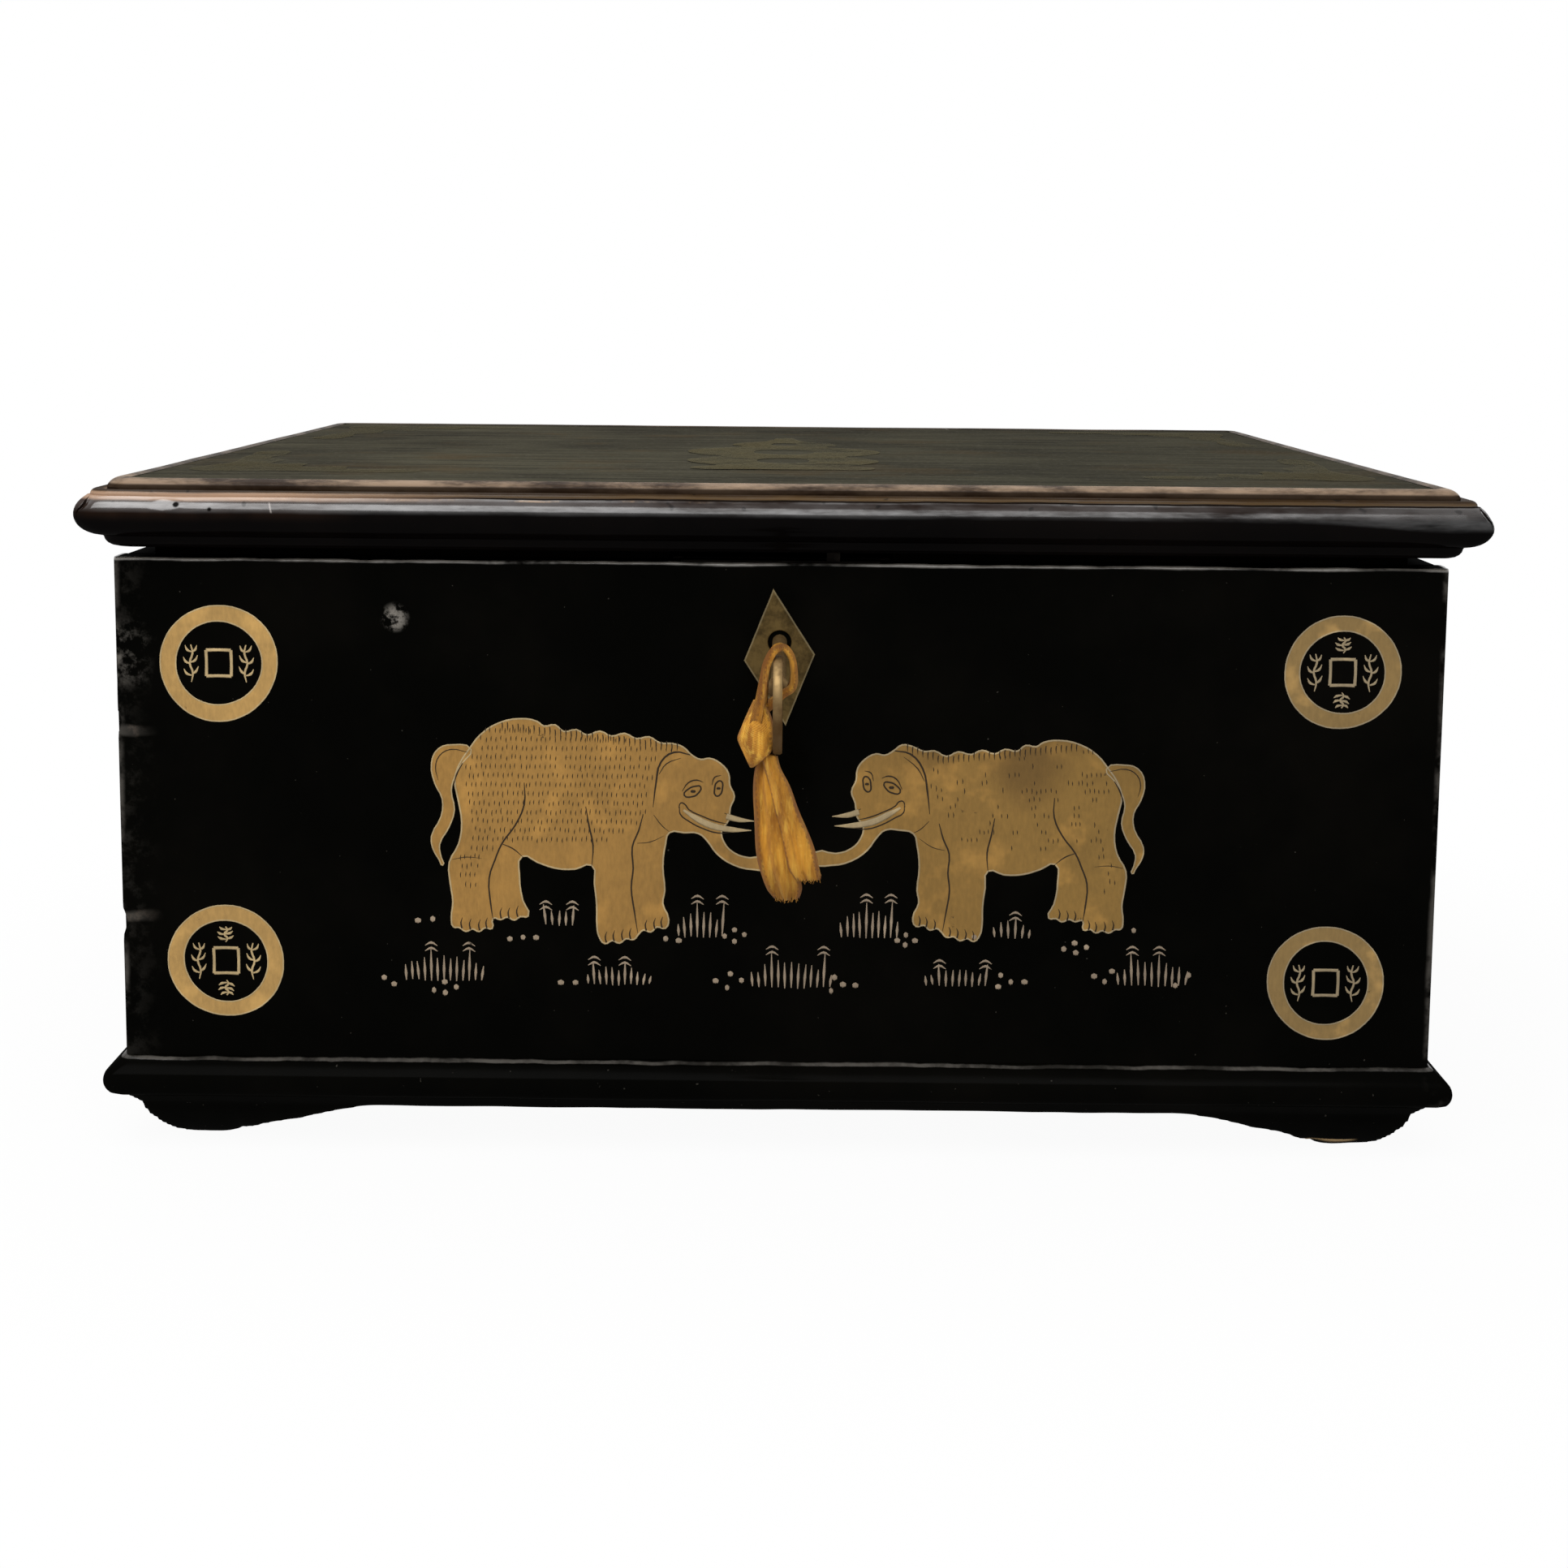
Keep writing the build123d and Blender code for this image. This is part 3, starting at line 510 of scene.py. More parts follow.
def drawn(points, origin, wide=1, high=1):
    """Places on the front board for points of a drawing, in mm, widened or mirrored.

    A mirrored drawing holds its head a little higher.
    """
    places = []
    for across, up in points:
        raised = min(max((across - 58) / 14, 0.0), 1.0) if wide < 0 else 0.0
        places.append((origin[0] + across * wide, origin[1] + up * high * (1 + 0.12 * raised)))
    return places


def open_curve(name, flat, spread=12, half_thick=0.0, half_wide=0.0, roundness=0):
    """An empty curve to draw on: filled outlines if it is flat, or else round strokes."""
    curve = new_piece(bpy.ops.curve.primitive_bezier_circle_add, name)
    curve.data.splines.clear()
    curve.data.dimensions = "2D" if flat else "3D"
    if flat:
        curve.data.fill_mode = "BOTH"
    curve.data.resolution_u, curve.data.extrude = spread, half_thick
    curve.data.bevel_depth, curve.data.bevel_resolution = half_wide, roundness
    return curve


def add_line(curve, places, closed=True, widths=None):
    """A smooth stroke or outline through places."""
    spline = curve.data.splines.new("BEZIER")
    spline.bezier_points.add(len(places) - 1)
    for point, place, width in zip(spline.bezier_points, places, widths or [1] * len(places)):
        point.co = (*place, 0)[:3]
        point.radius = width
        point.handle_left_type = point.handle_right_type = "AUTO"
    spline.use_cyclic_u = closed


def as_mesh(curve, scale=(1, 1, 1), turn=(0, 0, 0), place=(0, 0, 0)):
    """Turn a drawn curve into a mesh, at its place on the box."""
    curve.scale, curve.rotation_euler, curve.location = scale, turn, place
    bpy.ops.object.convert(target="MESH")
    bpy.ops.object.transform_apply(location=True, rotation=True, scale=True)
    return bpy.context.object


def gilt_shapes(name, outlines, proud, finish):
    """Flat closed figures on the front board; one inside another leaves a hole."""
    curve = open_curve(name, True, 5, half_thick=0.12)
    for outline in outlines:
        add_line(curve, outline)
    place = (0, body_front - (proud - 0.12) * mm, 0)
    fit(as_mesh(curve, (mm, mm, mm), (pi / 2, 0, 0), place), finish, "box", "body_lacquer")


def brush_strokes(name, lines, proud, finish, closed=False):
    """Strokes on the front board: each is its places and its half widths, in mm."""
    curve = open_curve(name, False, 3, half_wide=1, roundness=1)
    for places, widths in lines:
        add_line(curve, places, closed, widths)
    place = (0, body_front - proud * mm, 0)
    fit(as_mesh(curve, (mm, mm, 0.1 * mm), (pi / 2, 0, 0), place), finish, "box", "body_lacquer")


def gilt_finish(name, left, right, wear, smudged=False):
    """Matt gold with painted light: brighter to the left and in painted shade towards the right, fine
    grained, thin where it is worn.
    """
    finish = Finish(name, specular_ior_level=0.2)
    clouds = finish.cloud(0.02, seed=70)
    grain = finish.cloud(0.0011, 3, stretch=(1, 1, 0.35), seed=71)
    shade = (clouds * 0.55 + grain * 0.6 - 0.1).between(0.2, 0.75)
    light = finish.cloud(0.009, 3, 0.5, seed=72).between(0.52, 0.75)
    # painted light: the gold runs from the left colour to the darker right one across the front
    colour = finish.x.between(-0.16, 0.16).blend(left, right).covered(
        (shade * 0.42, [part * 0.62 for part in right]),
        (light * 0.3, [min(255, part * 1.25) for part in left]),
    )
    if smudged:
        spot = finish.distance((0.075, body_front, 0.1235))
        dirt = (spot + clouds * 0.02).between(0.026, 0.012) * 0.55
        top = finish.z.between(0.1130, 0.1290) * finish.x.between(0.028, 0.05) * 0.4
        colour = dirt.larger(top * clouds.between(0.3, 0.6)).blend(colour, (70, 50, 24))
    worn = finish.cloud(0.006, 5, 0.7, seed=73).between(0.70 - wear, 0.76 - wear)
    colour = (worn * 0.8).blend(colour, (26, 19, 10))
    relief = finish.relief(grain * 0.5 + clouds * 0.4 - worn * 0.5, 0.00008)
    return finish.lay(base_color=colour, roughness=0.5 + grain * 0.15, normal=relief)


# the strokes are scattered by noise from a fixed seed, so that they fall the same way each time
noise.seed_set(3)
# each gilt colour is given lit at the left and in painted shade at the right
gold = gilt_finish("gilt_gold", (166, 124, 62), (124, 95, 48), 0.02)
smudged_gold = gilt_finish("gilt_gold_smudged", (164, 123, 62), (130, 100, 48), 0.02, smudged=True)
ring_gold = gilt_finish("gilt_rings", (182, 144, 84), (136, 110, 66), 0.03)
pale_gold = gilt_finish("gilt_pale", (186, 162, 118), (148, 132, 104), 0.03)
grass_gold = gilt_finish("gilt_grass", (158, 140, 118), (138, 122, 104), 0.04)
line_black = gilt_finish("drawn_line", (44, 31, 15), (38, 27, 13), 0)

elephant = [
    (6.2, 56), (9.5, 60.2), (15, 63.8), (21.5, 65.2), (26.6, 64.4), (28.6, 63), (32, 63.4), (34.6, 61.4),
    (38.4, 62), (41.6, 60.4), (45.6, 61.6), (49, 60.1), (53, 61), (56.6, 59.4), (60.4, 60), (63.6, 58.2),
    (67.4, 58), (70.6, 57), (73.2, 54.6), (76, 53.2), (78.6, 53.6), (82, 52), (84.4, 49), (84.8, 45.4),
    (86.2, 42), (85, 38.6), (84.4, 34.4), (82.4, 31.4), (83, 28), (86, 24.6), (91, 23), (97.2, 23.4),
    (98, 20.2), (92, 19.4), (86, 20.8), (81, 24.2), (78, 28.2), (75.4, 30.4), (71, 30.6), (66.6, 30.6),
    (65.4, 27), (64.6, 20), (65.2, 12.5), (64.6, 8.5), (66.4, 3.6), (65.4, 0.8), (62.8, 1.2), (61, -0.4),
    (58.8, 0.2), (57.2, -1.2), (55.8, -2.8), (53.4, -2.6), (51.4, -4), (49.2, -3.2), (47, -4.2),
    (45.2, -2), (44.6, 1), (44.5, 8), (43.8, 14.5), (43, 20.2), (38, 19), (32, 19.2), (26.5, 21),
    (21.9, 22.8), (21, 17), (22, 9), (23.6, 4.2), (21.2, 4), (19.4, 2.9), (17.2, 3.8), (15.2, 3),
    (12.9, 3.4), (12.6, 0.2), (10.4, 0.4), (8.6, -0.8), (6.6, 0), (4.6, -0.8), (2.6, 0.4), (0.8, 0.6),
    (0.2, 3.2), (0.7, 8.5), (0, 14), (-0.3, 20.6), (2.6, 26.4), (3.6, 33), (2.6, 40), (1.6, 46.4),
    (3, 51),
]
tail = [
    (6.6, 55.6), (1, 57), (-3.2, 55.8), (-5.4, 51.4), (-4.4, 45), (-2.3, 40.5), (-2.6, 35), (-5.6, 28.8),
    (-5.3, 25.2), (-3.3, 21.4), (-2.3, 19.8), (-2.8, 22.4), (-3.2, 26.2), (-0.3, 31.6), (1.4, 37),
    (0.5, 43), (1.7, 47.5), (4.2, 51.8),
]
# each line drawn over the gold: its places and its half width
body_lines = [
    ([(22.6, 45.6), (22.6, 39), (19.8, 32.4), (15.8, 26.8), (13.6, 21.6), (11.8, 16), (12.2, 8),
      (12.9, 3)], 0.24),
    ([(15.8, 26.6), (19, 25.2), (22.1, 22.6)], 0.2),
    ([(41.2, 38.4), (42.2, 32.4), (43.4, 26.4), (43, 20)], 0.24),
    ([(58.6, 36.2), (57.2, 31), (55.3, 26), (55.6, 19.4), (55, 13.4), (55.9, 6.4), (57, -0.8)], 0.24),
    ([(72.8, 54.6), (68, 55.4), (64, 52.4), (62.5, 46), (61.6, 38.4)], 0.28),
    ([(63.4, 48.6), (65.6, 51.8), (70, 53.6)], 0.18), ([(0.6, 21.6), (5, 22.4), (9.6, 22)], 0.12),
    ([(56.8, 27.2), (60.6, 27.6), (65, 29.6)], 0.12), ([(4, 51.4), (2.2, 48), (1.2, 44.4)], 0.24),
    ([(5.4, 54.8), (0.4, 55.6), (-3, 53.6), (-4.2, 50), (-3.4, 46)], 0.15),
    ([(61.8, 36), (64.4, 32.6), (66.6, 30.8)], 0.14),
    ([(69.4, 38.2), (70, 39.8), (71.2, 39.4), (72.4, 37.8), (76.4, 35.8), (80.6, 34.2), (84.4, 33.4)], 0.2),
    ([(69.6, 38.6), (69.8, 36.4), (72.4, 34.2), (76.6, 32), (81.4, 30.6), (84.6, 30.8)], 0.2),
    ([(83.2, 36.8), (86.2, 35.6), (90, 35.2)], 0.16),
]
eyes = [
    [(71, 42.2), (72.4, 44.2), (74.4, 45), (76, 44.8), (75.2, 42.8), (73.6, 41.8)],
    [(80.5, 42.2), (80.2, 44.2), (81, 46.4), (82.2, 46.6), (82.6, 44.6), (81.6, 42.2)],
]
pupils = [((73.7, 43.4), 0.8), ((81.4, 44.4), 0.66)]
brows = [
    [(70.4, 43.4), (72.2, 46), (74.8, 46.9), (76.8, 46.2)], [(79.4, 45.4), (80.2, 47.8), (82.2, 48.4)],
]
toe_lines = [
    (3.4, 0.2), (6, -0.2), (8.8, -0.4), (11, 0.2), (15.4, 3.4), (17.8, 3.4), (20.4, 4), (47.4, -3.8),
    (49.8, -3.4), (52.4, -3), (54.8, -2.6), (59.6, 0), (62.2, 0.6), (64.4, 1),
]
tusks = [
    ([(70.8, 37.6), (74.8, 35), (79.6, 32.8), (85.6, 31.7), (91.4, 31.5)], [0.35, 0.95, 1.05, 0.85, 0.12]),
    ([(83.8, 35.8), (87.6, 34.8), (92.2, 34.4)], [0.95, 0.8, 0.12]),
]
# rows of short hairs on the hide: height, then where the row starts and ends
hide_rows = [
    (61.6, 11, 27), (59, 9, 55), (56.2, 7, 69), (53.4, 6, 64), (50.6, 5, 63), (47.8, 5, 62), (45, 5, 61),
    (42.2, 5, 61), (39.4, 6, 60), (36.6, 6, 60), (33.8, 7, 58), (31, 7, 54), (28.2, 7, 50), (25.4, 6, 14),
    (22.6, 3, 11), (19.8, 3, 10), (17, 3, 10), (13.6, 4, 9),
]


def paint_elephant(name, origin, wide, high, gilding, hairs, seed):
    """One elephant: hide, tail, pale rims, drawn lines, toes, tusks and rows of hairs."""

    def seen(points):
        return drawn(points, origin, wide, high)

    shape, tail_shape = seen(elephant), seen(tail)
    gilt_shapes(f"{name}_hide", [shape], 0.10, gilding)
    gilt_shapes(f"{name}_tail", [tail_shape], 0.09, gilding)
    rims = [(shape, [0.26] * len(shape)), (tail_shape, [0.22] * len(tail_shape))]
    brush_strokes(f"{name}_rims", rims, 0.10, pale_gold, closed=True)
    lines = []
    for places, half in body_lines:
        lines.append((seen(places), [half * 0.5] + [half] * (len(places) - 2) + [half * 0.3]))
    for x, z in toe_lines:
        lines.append((seen([(x, z), (x - 0.3, z + 1.8), (x + 0.2, z + 3.4)]), [0.24, 0.2, 0.06]))
    brush_strokes(f"{name}_lines", lines, 0.14, line_black)
    rounds = [(seen(eye), [0.24] * len(eye)) for eye in eyes]
    brush_strokes(f"{name}_eye_lines", rounds, 0.15, line_black, closed=True)
    looks = [(seen(brow), [0.08] + [0.2] * (len(brow) - 2) + [0.06]) for brow in brows]
    for (x, z), half in pupils:
        dot = seen([(x, z - half * 0.5), (x, z), (x, z + half * 0.5)])
        looks.append((dot, [half * 0.7, half, half * 0.7]))
    brush_strokes(f"{name}_pupils", looks, 0.17, line_black)
    brush_strokes(f"{name}_tusks", [(seen(places), widths) for places, widths in tusks], 0.15, pale_gold)
    strokes = []
    for row, (up, start, end) in enumerate(hide_rows):
        for i in range(int((end - start) / 1.5)):
            place = Vector((start + i * 1.5 + 0.7 * (row % 2), up, seed))
            if noise.noise(place * 0.31) + 0.5 > hairs:
                continue
            shift = noise.noise_vector(place * 0.9)
            x, z = place.x + shift.x * 0.5, place.y + shift.y * 0.7
            half = 0.7 + 0.5 * abs(shift.z)
            ends = [(x, z - half), (x + shift.z * 0.15, z), (x + 0.1, z + half)]
            strokes.append((seen(ends), [0.05, 0.15, 0.05]))
    for i in range(34):
        x = 16 + i * 1.6
        top = 64.0 - 0.11 * (x - 20) + 0.3 * sin(i * 2.3)
        strokes.append((seen([(x, top - 3.0), (x + 0.1, top - 1.6), (x, top - 0.4)]), [0.05, 0.17, 0.14]))
    brush_strokes(f"{name}_hairs", strokes, 0.13, line_black)


paint_elephant("elephant_left", (-99.5, 70.6), 1, 1, gold, 1.2, 3)
paint_elephant("elephant_right", (105.3, 72), -0.965, 0.9, smudged_gold, 0.34, 8)


def ring_outline(centre, radius, wave):
    """A circle drawn by hand, a little uneven."""
    points = []
    for i in range(16):
        angle = i * pi / 8
        reach = radius * (1 + 0.012 * sin(2 * angle + wave) + 0.008 * sin(3 * angle + 2 * wave))
        points.append((centre[0] + reach * cos(angle), centre[1] + reach * sin(angle)))
    return points


# a little upright sprig: a waving stem, then pairs of leaves
sprig = [
    ([(0, -5.8), (0.5, -3), (-0.4, 0), (0.5, 3), (0, 5.6)], [0.15, 0.34, 0.34, 0.34, 0.2]),
    ([(0.2, -3.4), (1.4, -2.6), (2.2, -1)], [0.2, 0.42, 0.1]),
    ([(0.1, -3.8), (-1.4, -3.2), (-2.2, -1.8)], [0.2, 0.42, 0.1]),
    ([(-0.2, 0.2), (1.2, 0.8), (2, 2.4)], [0.2, 0.42, 0.1]),
    ([(-0.3, -0.2), (-1.6, 0.4), (-2.3, 1.8)], [0.2, 0.42, 0.1]),
    ([(0.3, 3.4), (1.3, 4), (1.8, 5.4)], [0.2, 0.4, 0.1]),
    ([(0.2, 3.4), (-1.1, 4), (-1.7, 5.4)], [0.2, 0.4, 0.1]),
]
# each ring: its middle, outer and inner radius, and whether it has sprigs above and below the eye too
corner_rings = {
    "high_left": ((-168.7, 151.9), 17.6, 12.9, False),
    "high_right": ((169.0, 152.2), 17.2, 12.7, True),
    "low_left": ((-168.3, 59.9), 17.4, 12.8, True),
    "low_right": ((167.3, 56.3), 17.6, 13.0, False),
}
eye_corners = [(-3.75, -3.95), (3.75, -3.95), (3.75, 3.95), (-3.75, 3.95)]
for wave, (place, (centre, outer, inner, four)) in enumerate(corner_rings.items()):
    rings = [ring_outline(centre, outer, wave), ring_outline(centre, inner, wave + 1)]
    gilt_shapes(f"ring_{place}", rings, 0.10, ring_gold)
    brush_strokes(f"ring_{place}_rims", [(ring, [0.22] * 16) for ring in rings], 0.10, pale_gold, closed=True)
    lines = []
    for start, end in zip(eye_corners, eye_corners[1:] + eye_corners[:1]):
        middle = tuple((s + e) / 2 + 0.1 for s, e in zip(start, end))
        lines.append((drawn([start, middle, end], centre), [0.5, 0.46, 0.52]))
    spots = [(-8.3, 0, 1, 1), (8.3, 0, -1, 1)] + [(0, 8.3, 1.1, 0.42), (0, -8.5, 1.1, -0.42)] * four
    for across, up, wide, high in spots:
        spot = (centre[0] + across, centre[1] + up)
        lines += [(drawn(places, spot, wide, high), widths) for places, widths in sprig]
    brush_strokes(f"ring_{place}_sprigs", lines, 0.08, pale_gold)

# each tuft: left and right end, foot and height, which blades carry a bent tip
tufts = [
    (-70.5, -62.4, 71.8, 7.6, (0, 4)), (-30, -16.8, 68.6, 13, (3, 7)), (19.6, 36.4, 68.9, 13.6, (4, 8)),
    (66.2, 76.6, 69.2, 8.2, (3,)), (-113.2, -90.2, 54.2, 12, (4, 10, 14)),
    (-57.6, -39, 53.4, 8.8, (1, 6, 11)), (-7.4, 16.2, 53, 13, (3, 11, 14)), (45.6, 63.6, 54, 8.2, (2, 9)),
    (104.2, 124.6, 54.8, 12.2, (2, 6, 11)),
]
blades = []
for left, right_end, foot, height, bent in tufts:
    count = max(4, round((right_end - left) / 1.95))
    for i in range(count + 1):
        share = i / count
        x = left + (right_end - left) * share
        shift = noise.noise_vector(Vector((x * 0.7, foot, 4)))
        tall = height * (0.82 if i in bent else 0.34 + 0.3 * sin(pi * share) + 0.16 * shift.x)
        low = foot + 0.5 * shift.y + 0.8 * abs(share - 0.5)
        lean = 0.9 * (share - 0.5) + 0.5 * shift.z
        spine = [(x, low), (x + lean * 0.4, low + tall * 0.45), (x + lean, low + tall)]
        blades.append((spine, [0.16, 0.46, 0.12]))
        for top in (foot + height, foot + height - 1.7) if i in bent else ():
            blades.append(([(x - 1.9, top - 0.9), (x, top), (x + 1.9, top - 1)], [0.1, 0.42, 0.1]))
brush_strokes("grass_tufts", blades, 0.07, grass_gold)

pebbles = [
    (-109.5, 73), (-105, 73.5), (-81.5, 67.5), (-77.5, 68), (-73.5, 68), (-34, 68), (-30, 67.5),
    (-16, 69), (-13, 71), (-10, 69.5), (-13, 67.4), (-120, 55), (-117, 53), (-104.8, 51.2), (-98, 52.2),
    (-101.5, 53.8), (-101.4, 50.4), (-66, 54), (-61.5, 54), (-18.7, 55), (-14.2, 57.2), (-10.8, 55.2),
    (-15.2, 52.8), (36.6, 68.2), (39.2, 69.9), (39, 66.8), (42, 68.2), (60, 69.5), (87.3, 66),
    (90.6, 67.9), (91, 64.9), (94.2, 66.6), (108.5, 72), (96.8, 57.6), (100, 55.9), (102.2, 59.2),
    (17.6, 56.4), (20.2, 54.2), (24, 54), (16.6, 52.2), (68.3, 57.6), (71.4, 55.5), (67.6, 54),
    (75.6, 55.6), (121.6, 54.9), (125.6, 58.2),
]
spots = []
for x, z in pebbles:
    shift = noise.noise_vector(Vector((x, z, 2)))
    reach = 0.75 + 0.3 * shift.z
    places = [(x - reach, z + 0.3 * shift.x), (x, z + 0.1), (x + reach, z + 0.4 * shift.y)]
    spots.append((places, [0.55, 0.95 + 0.2 * shift.x, 0.5]))
brush_strokes("pebbles", spots, 0.07, grass_gold)

# ---------------------------------------------------------------- lid: mitred mouldings and the board in them
# Four lengths worked with a small ovolo, a big round nose and a shallow cove, mitred and glued, with
# the lid board laid in their rebate. The cove is rubbed to brown, the nose shines where it is handled and
# carries a painted sheen and, at its left end, a painted highlight.
lid_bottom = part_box("lid_moulding_front")[0].z
lid_reach = (body_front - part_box("lid_moulding_front")[0].y) / mm
panel_foot, lid_top = (corner.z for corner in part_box("lid_board"))


def lid_moulding_finish():
    """Glossy black on the nose with a painted sheen on its upper part, rubbed to bronze brown above it, with
    a broken light line between, painted shade in the quirk and a painted highlight along the nose top at the
    left.
    """
    finish = Finish("moulding_lacquer", coat_roughness=0.15, coat_ior=1.8)
    x = finish.x
    clouds = finish.cloud(0.06, seed=40)
    fine = finish.cloud(0.0014, 3, seed=42)
    along = finish.cloud(0.006, 4, 0.65, stretch=(0.08, 0.08, 1), seed=43)
    height = finish.z - lid_bottom + (finish.cloud(0.03, seed=41) - 0.5) * 0.0010
    upper = height.between(0.0158, 0.0163)
    aside = (finish.y - body_front).between(0, 0.03)
    # painted sheen: the upper nose is painted paler, less towards the right
    sheen = height.between(0.0112, 0.0142) * (1 - upper) * (1 - x.between(-0.05, 0.20) * 0.35)
    brown = height.between(0.008, 0.0125) * x.between(-0.10, -0.19) * clouds.between(0.35, 0.6)
    bronze = (height + along * 0.0012).between(0.0166, 0.0180).blend((92, 73, 50), (42, 28, 13))
    # painted shade: the quirk between nose and astragal is painted near black
    groove = height.band(0.0155, 0.0157, 0.0159, 0.0161)
    ridge = height.band(0.0149, 0.0151, 0.0154, 0.0156) * x.between(0, -0.08)
    ridge = ridge * finish.cloud(0.02, 5, 0.7, seed=46).between(0.5, 0.64)
    pits = finish.cloud(0.0035, 1, 0.4, seed=47).between(0.70, 0.78)
    holes = pits * 0.3
    for across, up, size in ((-0.1779, 0.2007, 0.0013), (-0.1679, 0.1991, 0.0010)):
        apart = finish.distance((across, body_front - 0.0093, up))
        holes = holes.larger(apart.between(size, size * 0.5))
    scratch = abs(x + 0.1500 + (height - 0.0125) * 0.3).between(0.0004, 0.0001) * (1 - aside)
    scratch = scratch * height.band(0.0110, 0.0118, 0.0138, 0.0146)
    # painted highlight: a pale warm band along the top of the nose at the left end
    warm = height.band(0.0142, 0.0152, 0.0164, 0.0172) * (1 - aside) * x.between(-0.08, -0.16)
    colour = clouds.between(0.3, 0.8).blend((4, 3, 3), (10, 7, 6)).covered(
        (sheen * (0.1 + along * 0.4), (82, 68, 62)),
        (brown * 0.55, (58, 38, 26)),
        (upper, (aside * 0.6).blend(bronze, (24, 17, 10))),
        (groove * 0.9, (20, 14, 9)),
        (ridge * 0.7, (150, 122, 92)),
        (pits * 0.5, (5, 4, 4)),
        (holes, (8, 6, 5)),
        (scratch * 0.5, (180, 172, 166)),
        (warm * (0.5 + along) * 0.7, (184, 150, 124)),
    )
    polish = (height + x.between(0.15, 0.20) * 0.0026).between(0.0108, 0.0124)
    polish = polish * (1 - groove) * (1 - upper * 0.85) * (1 - holes)
    streaks = finish.cloud(0.03, 5, 0.7, stretch=(0.5, 0.5, 2.5), seed=48).between(0.32, 0.66)
    gleam = 0.10 + x.between(-0.05, -0.17) * 0.35 + streaks * 0.75 + (along - 0.5) * 1.2
    polish = polish * gleam * (1 - x.between(-0.196, -0.209) * 0.8) + 0.02
    rough = 0.27 + clouds * 0.1 + along * 0.08 + upper * 0.2
    relief = finish.relief(fine * 0.15 + along * 0.5 + clouds * 0.5 - pits * 0.8, 0.0002)
    return finish.lay(base_color=colour, roughness=rough, coat_weight=polish, normal=relief)


moulding_finish = lid_moulding_finish()
nose_end, astragal_end = (6.9, 15.7), (4.0, 17.4)
lid_section = [
    (2.5, 12), (-26, 12), (-26, -0.26), (-10.6, -0.26), (-10.5, 0),
    *curve_points((-0.5, 0), (2.6, 1.1), (3.4, 3.0), 5), (3.4, 3.0), (3.7, 3.4),
    *curve_points((4.2, 3.5), (lid_reach, 10.2), nose_end, 16), nose_end,
    *curve_points((6.2, 15.75), (5.9, 16.9), astragal_end, 6), astragal_end, (2.5, 17.0),
]
nose_knocks = [
    (-181.5, 8.5, 200.5, 2.6, 1.0), (-179.5, 9.2, 198.5, 2.0, 0.6), (-206.5, 7.5, 201, 4.5, 1.2),
    (207, 8.0, 200, 5.5, 1.2),
]
for side in sides:
    length = planed_length(f"lid_run_{side}", side, lid_bottom, lid_section, 2.2, corner_spots(170), 1)
    hand_worn(length, 0.3, lambda p: lid_bottom + 3.5 * mm < p.z < lid_bottom + 15.5 * mm, nose_knocks)
    fit(length, moulding_finish, "lid", "moulding_lacquer", f"lid_moulding_{side}")


def lid_board_finish():
    """The lid's top: faded olive grey with specks, in painted shade towards the right, its bead rubbed to
    pinkish brown with painted shade on its lower part and in the quirk beside it; wood below.
    """
    finish = Finish("lid_lacquer", coat_roughness=0.25)
    clouds = finish.cloud(0.09, 5, seed=50)
    fine = finish.cloud(0.0016, 3, seed=51)
    streaks = finish.cloud(0.006, stretch=(0.1, 1, 1), seed=52)
    shade = (clouds * 0.5 + streaks * 0.5).between(0.32, 0.68)
    warm = finish.cloud(0.05, seed=57).between(0.52, 0.72)
    out = (abs(finish.x) - body_half_length).larger(abs(finish.y - body_middle) - body_half_depth)
    bead = out.between(-0.0034, -0.0028)
    broken = finish.cloud(0.014, 5, 0.7, stretch=(0.35, 1, 1), seed=54)
    low = finish.z.between(lid_top - 0.0019, lid_top - 0.0011)
    from_front = (finish.y - body_front).between(0.002, 0.03)
    bead_colour = broken.between(0.35, 0.62).blend((46, 34, 25), (142, 120, 99))
    # painted shade: the lower part of the bead, under its lit crown, is painted dark
    bead_colour = bead_colour.covered(((1 - low) * 0.9, (30, 20, 12)), (from_front * 0.75, (34, 30, 24)))
    # painted shade: the quirk beside the bead is painted dark
    hairline = out.band(-0.0046, -0.0040, -0.0036, -0.0030)
    rear = finish.y.between(body_back - 0.010, body_back - 0.006) * (1 - bead)
    rear = rear * finish.cloud(0.003, 2, 0.5, seed=55).between(0.66, 0.72)
    rear = rear * finish.cloud(0.05, 2, 0.5, seed=56).between(0.46, 0.56)
    below = finish.z.between(panel_foot + 0.0012, panel_foot + 0.0004)
    colour = shade.blend((42, 40, 34), (74, 71, 58)).covered(
        (warm * 0.45, (74, 60, 40)),
        # painted shade: the lid top darkens towards the right
        (finish.x.between(-0.1, 0.12) * 0.35, (34, 34, 29)),
        (fine.between(0.5, 0.75) * 0.3, (96, 92, 82)),
        (bead, bead_colour),
        (hairline * 0.8, (24, 19, 16)),
        (rear, (188, 184, 174)),
        (below, aged_wood(finish, (116, 86, 56), (62, 43, 28))[0]),
    )
    return finish.lay(
        base_color=colour,
        roughness=0.5 + clouds * 0.12 + fine * 0.08 - bead * 0.15 + below * 0.2,
        coat_weight=bead * low * (0.1 + broken * 0.3) + 0.015,
        normal=finish.relief(fine * 0.25 + streaks * 0.5 + clouds * 0.6, 0.0002),
    )


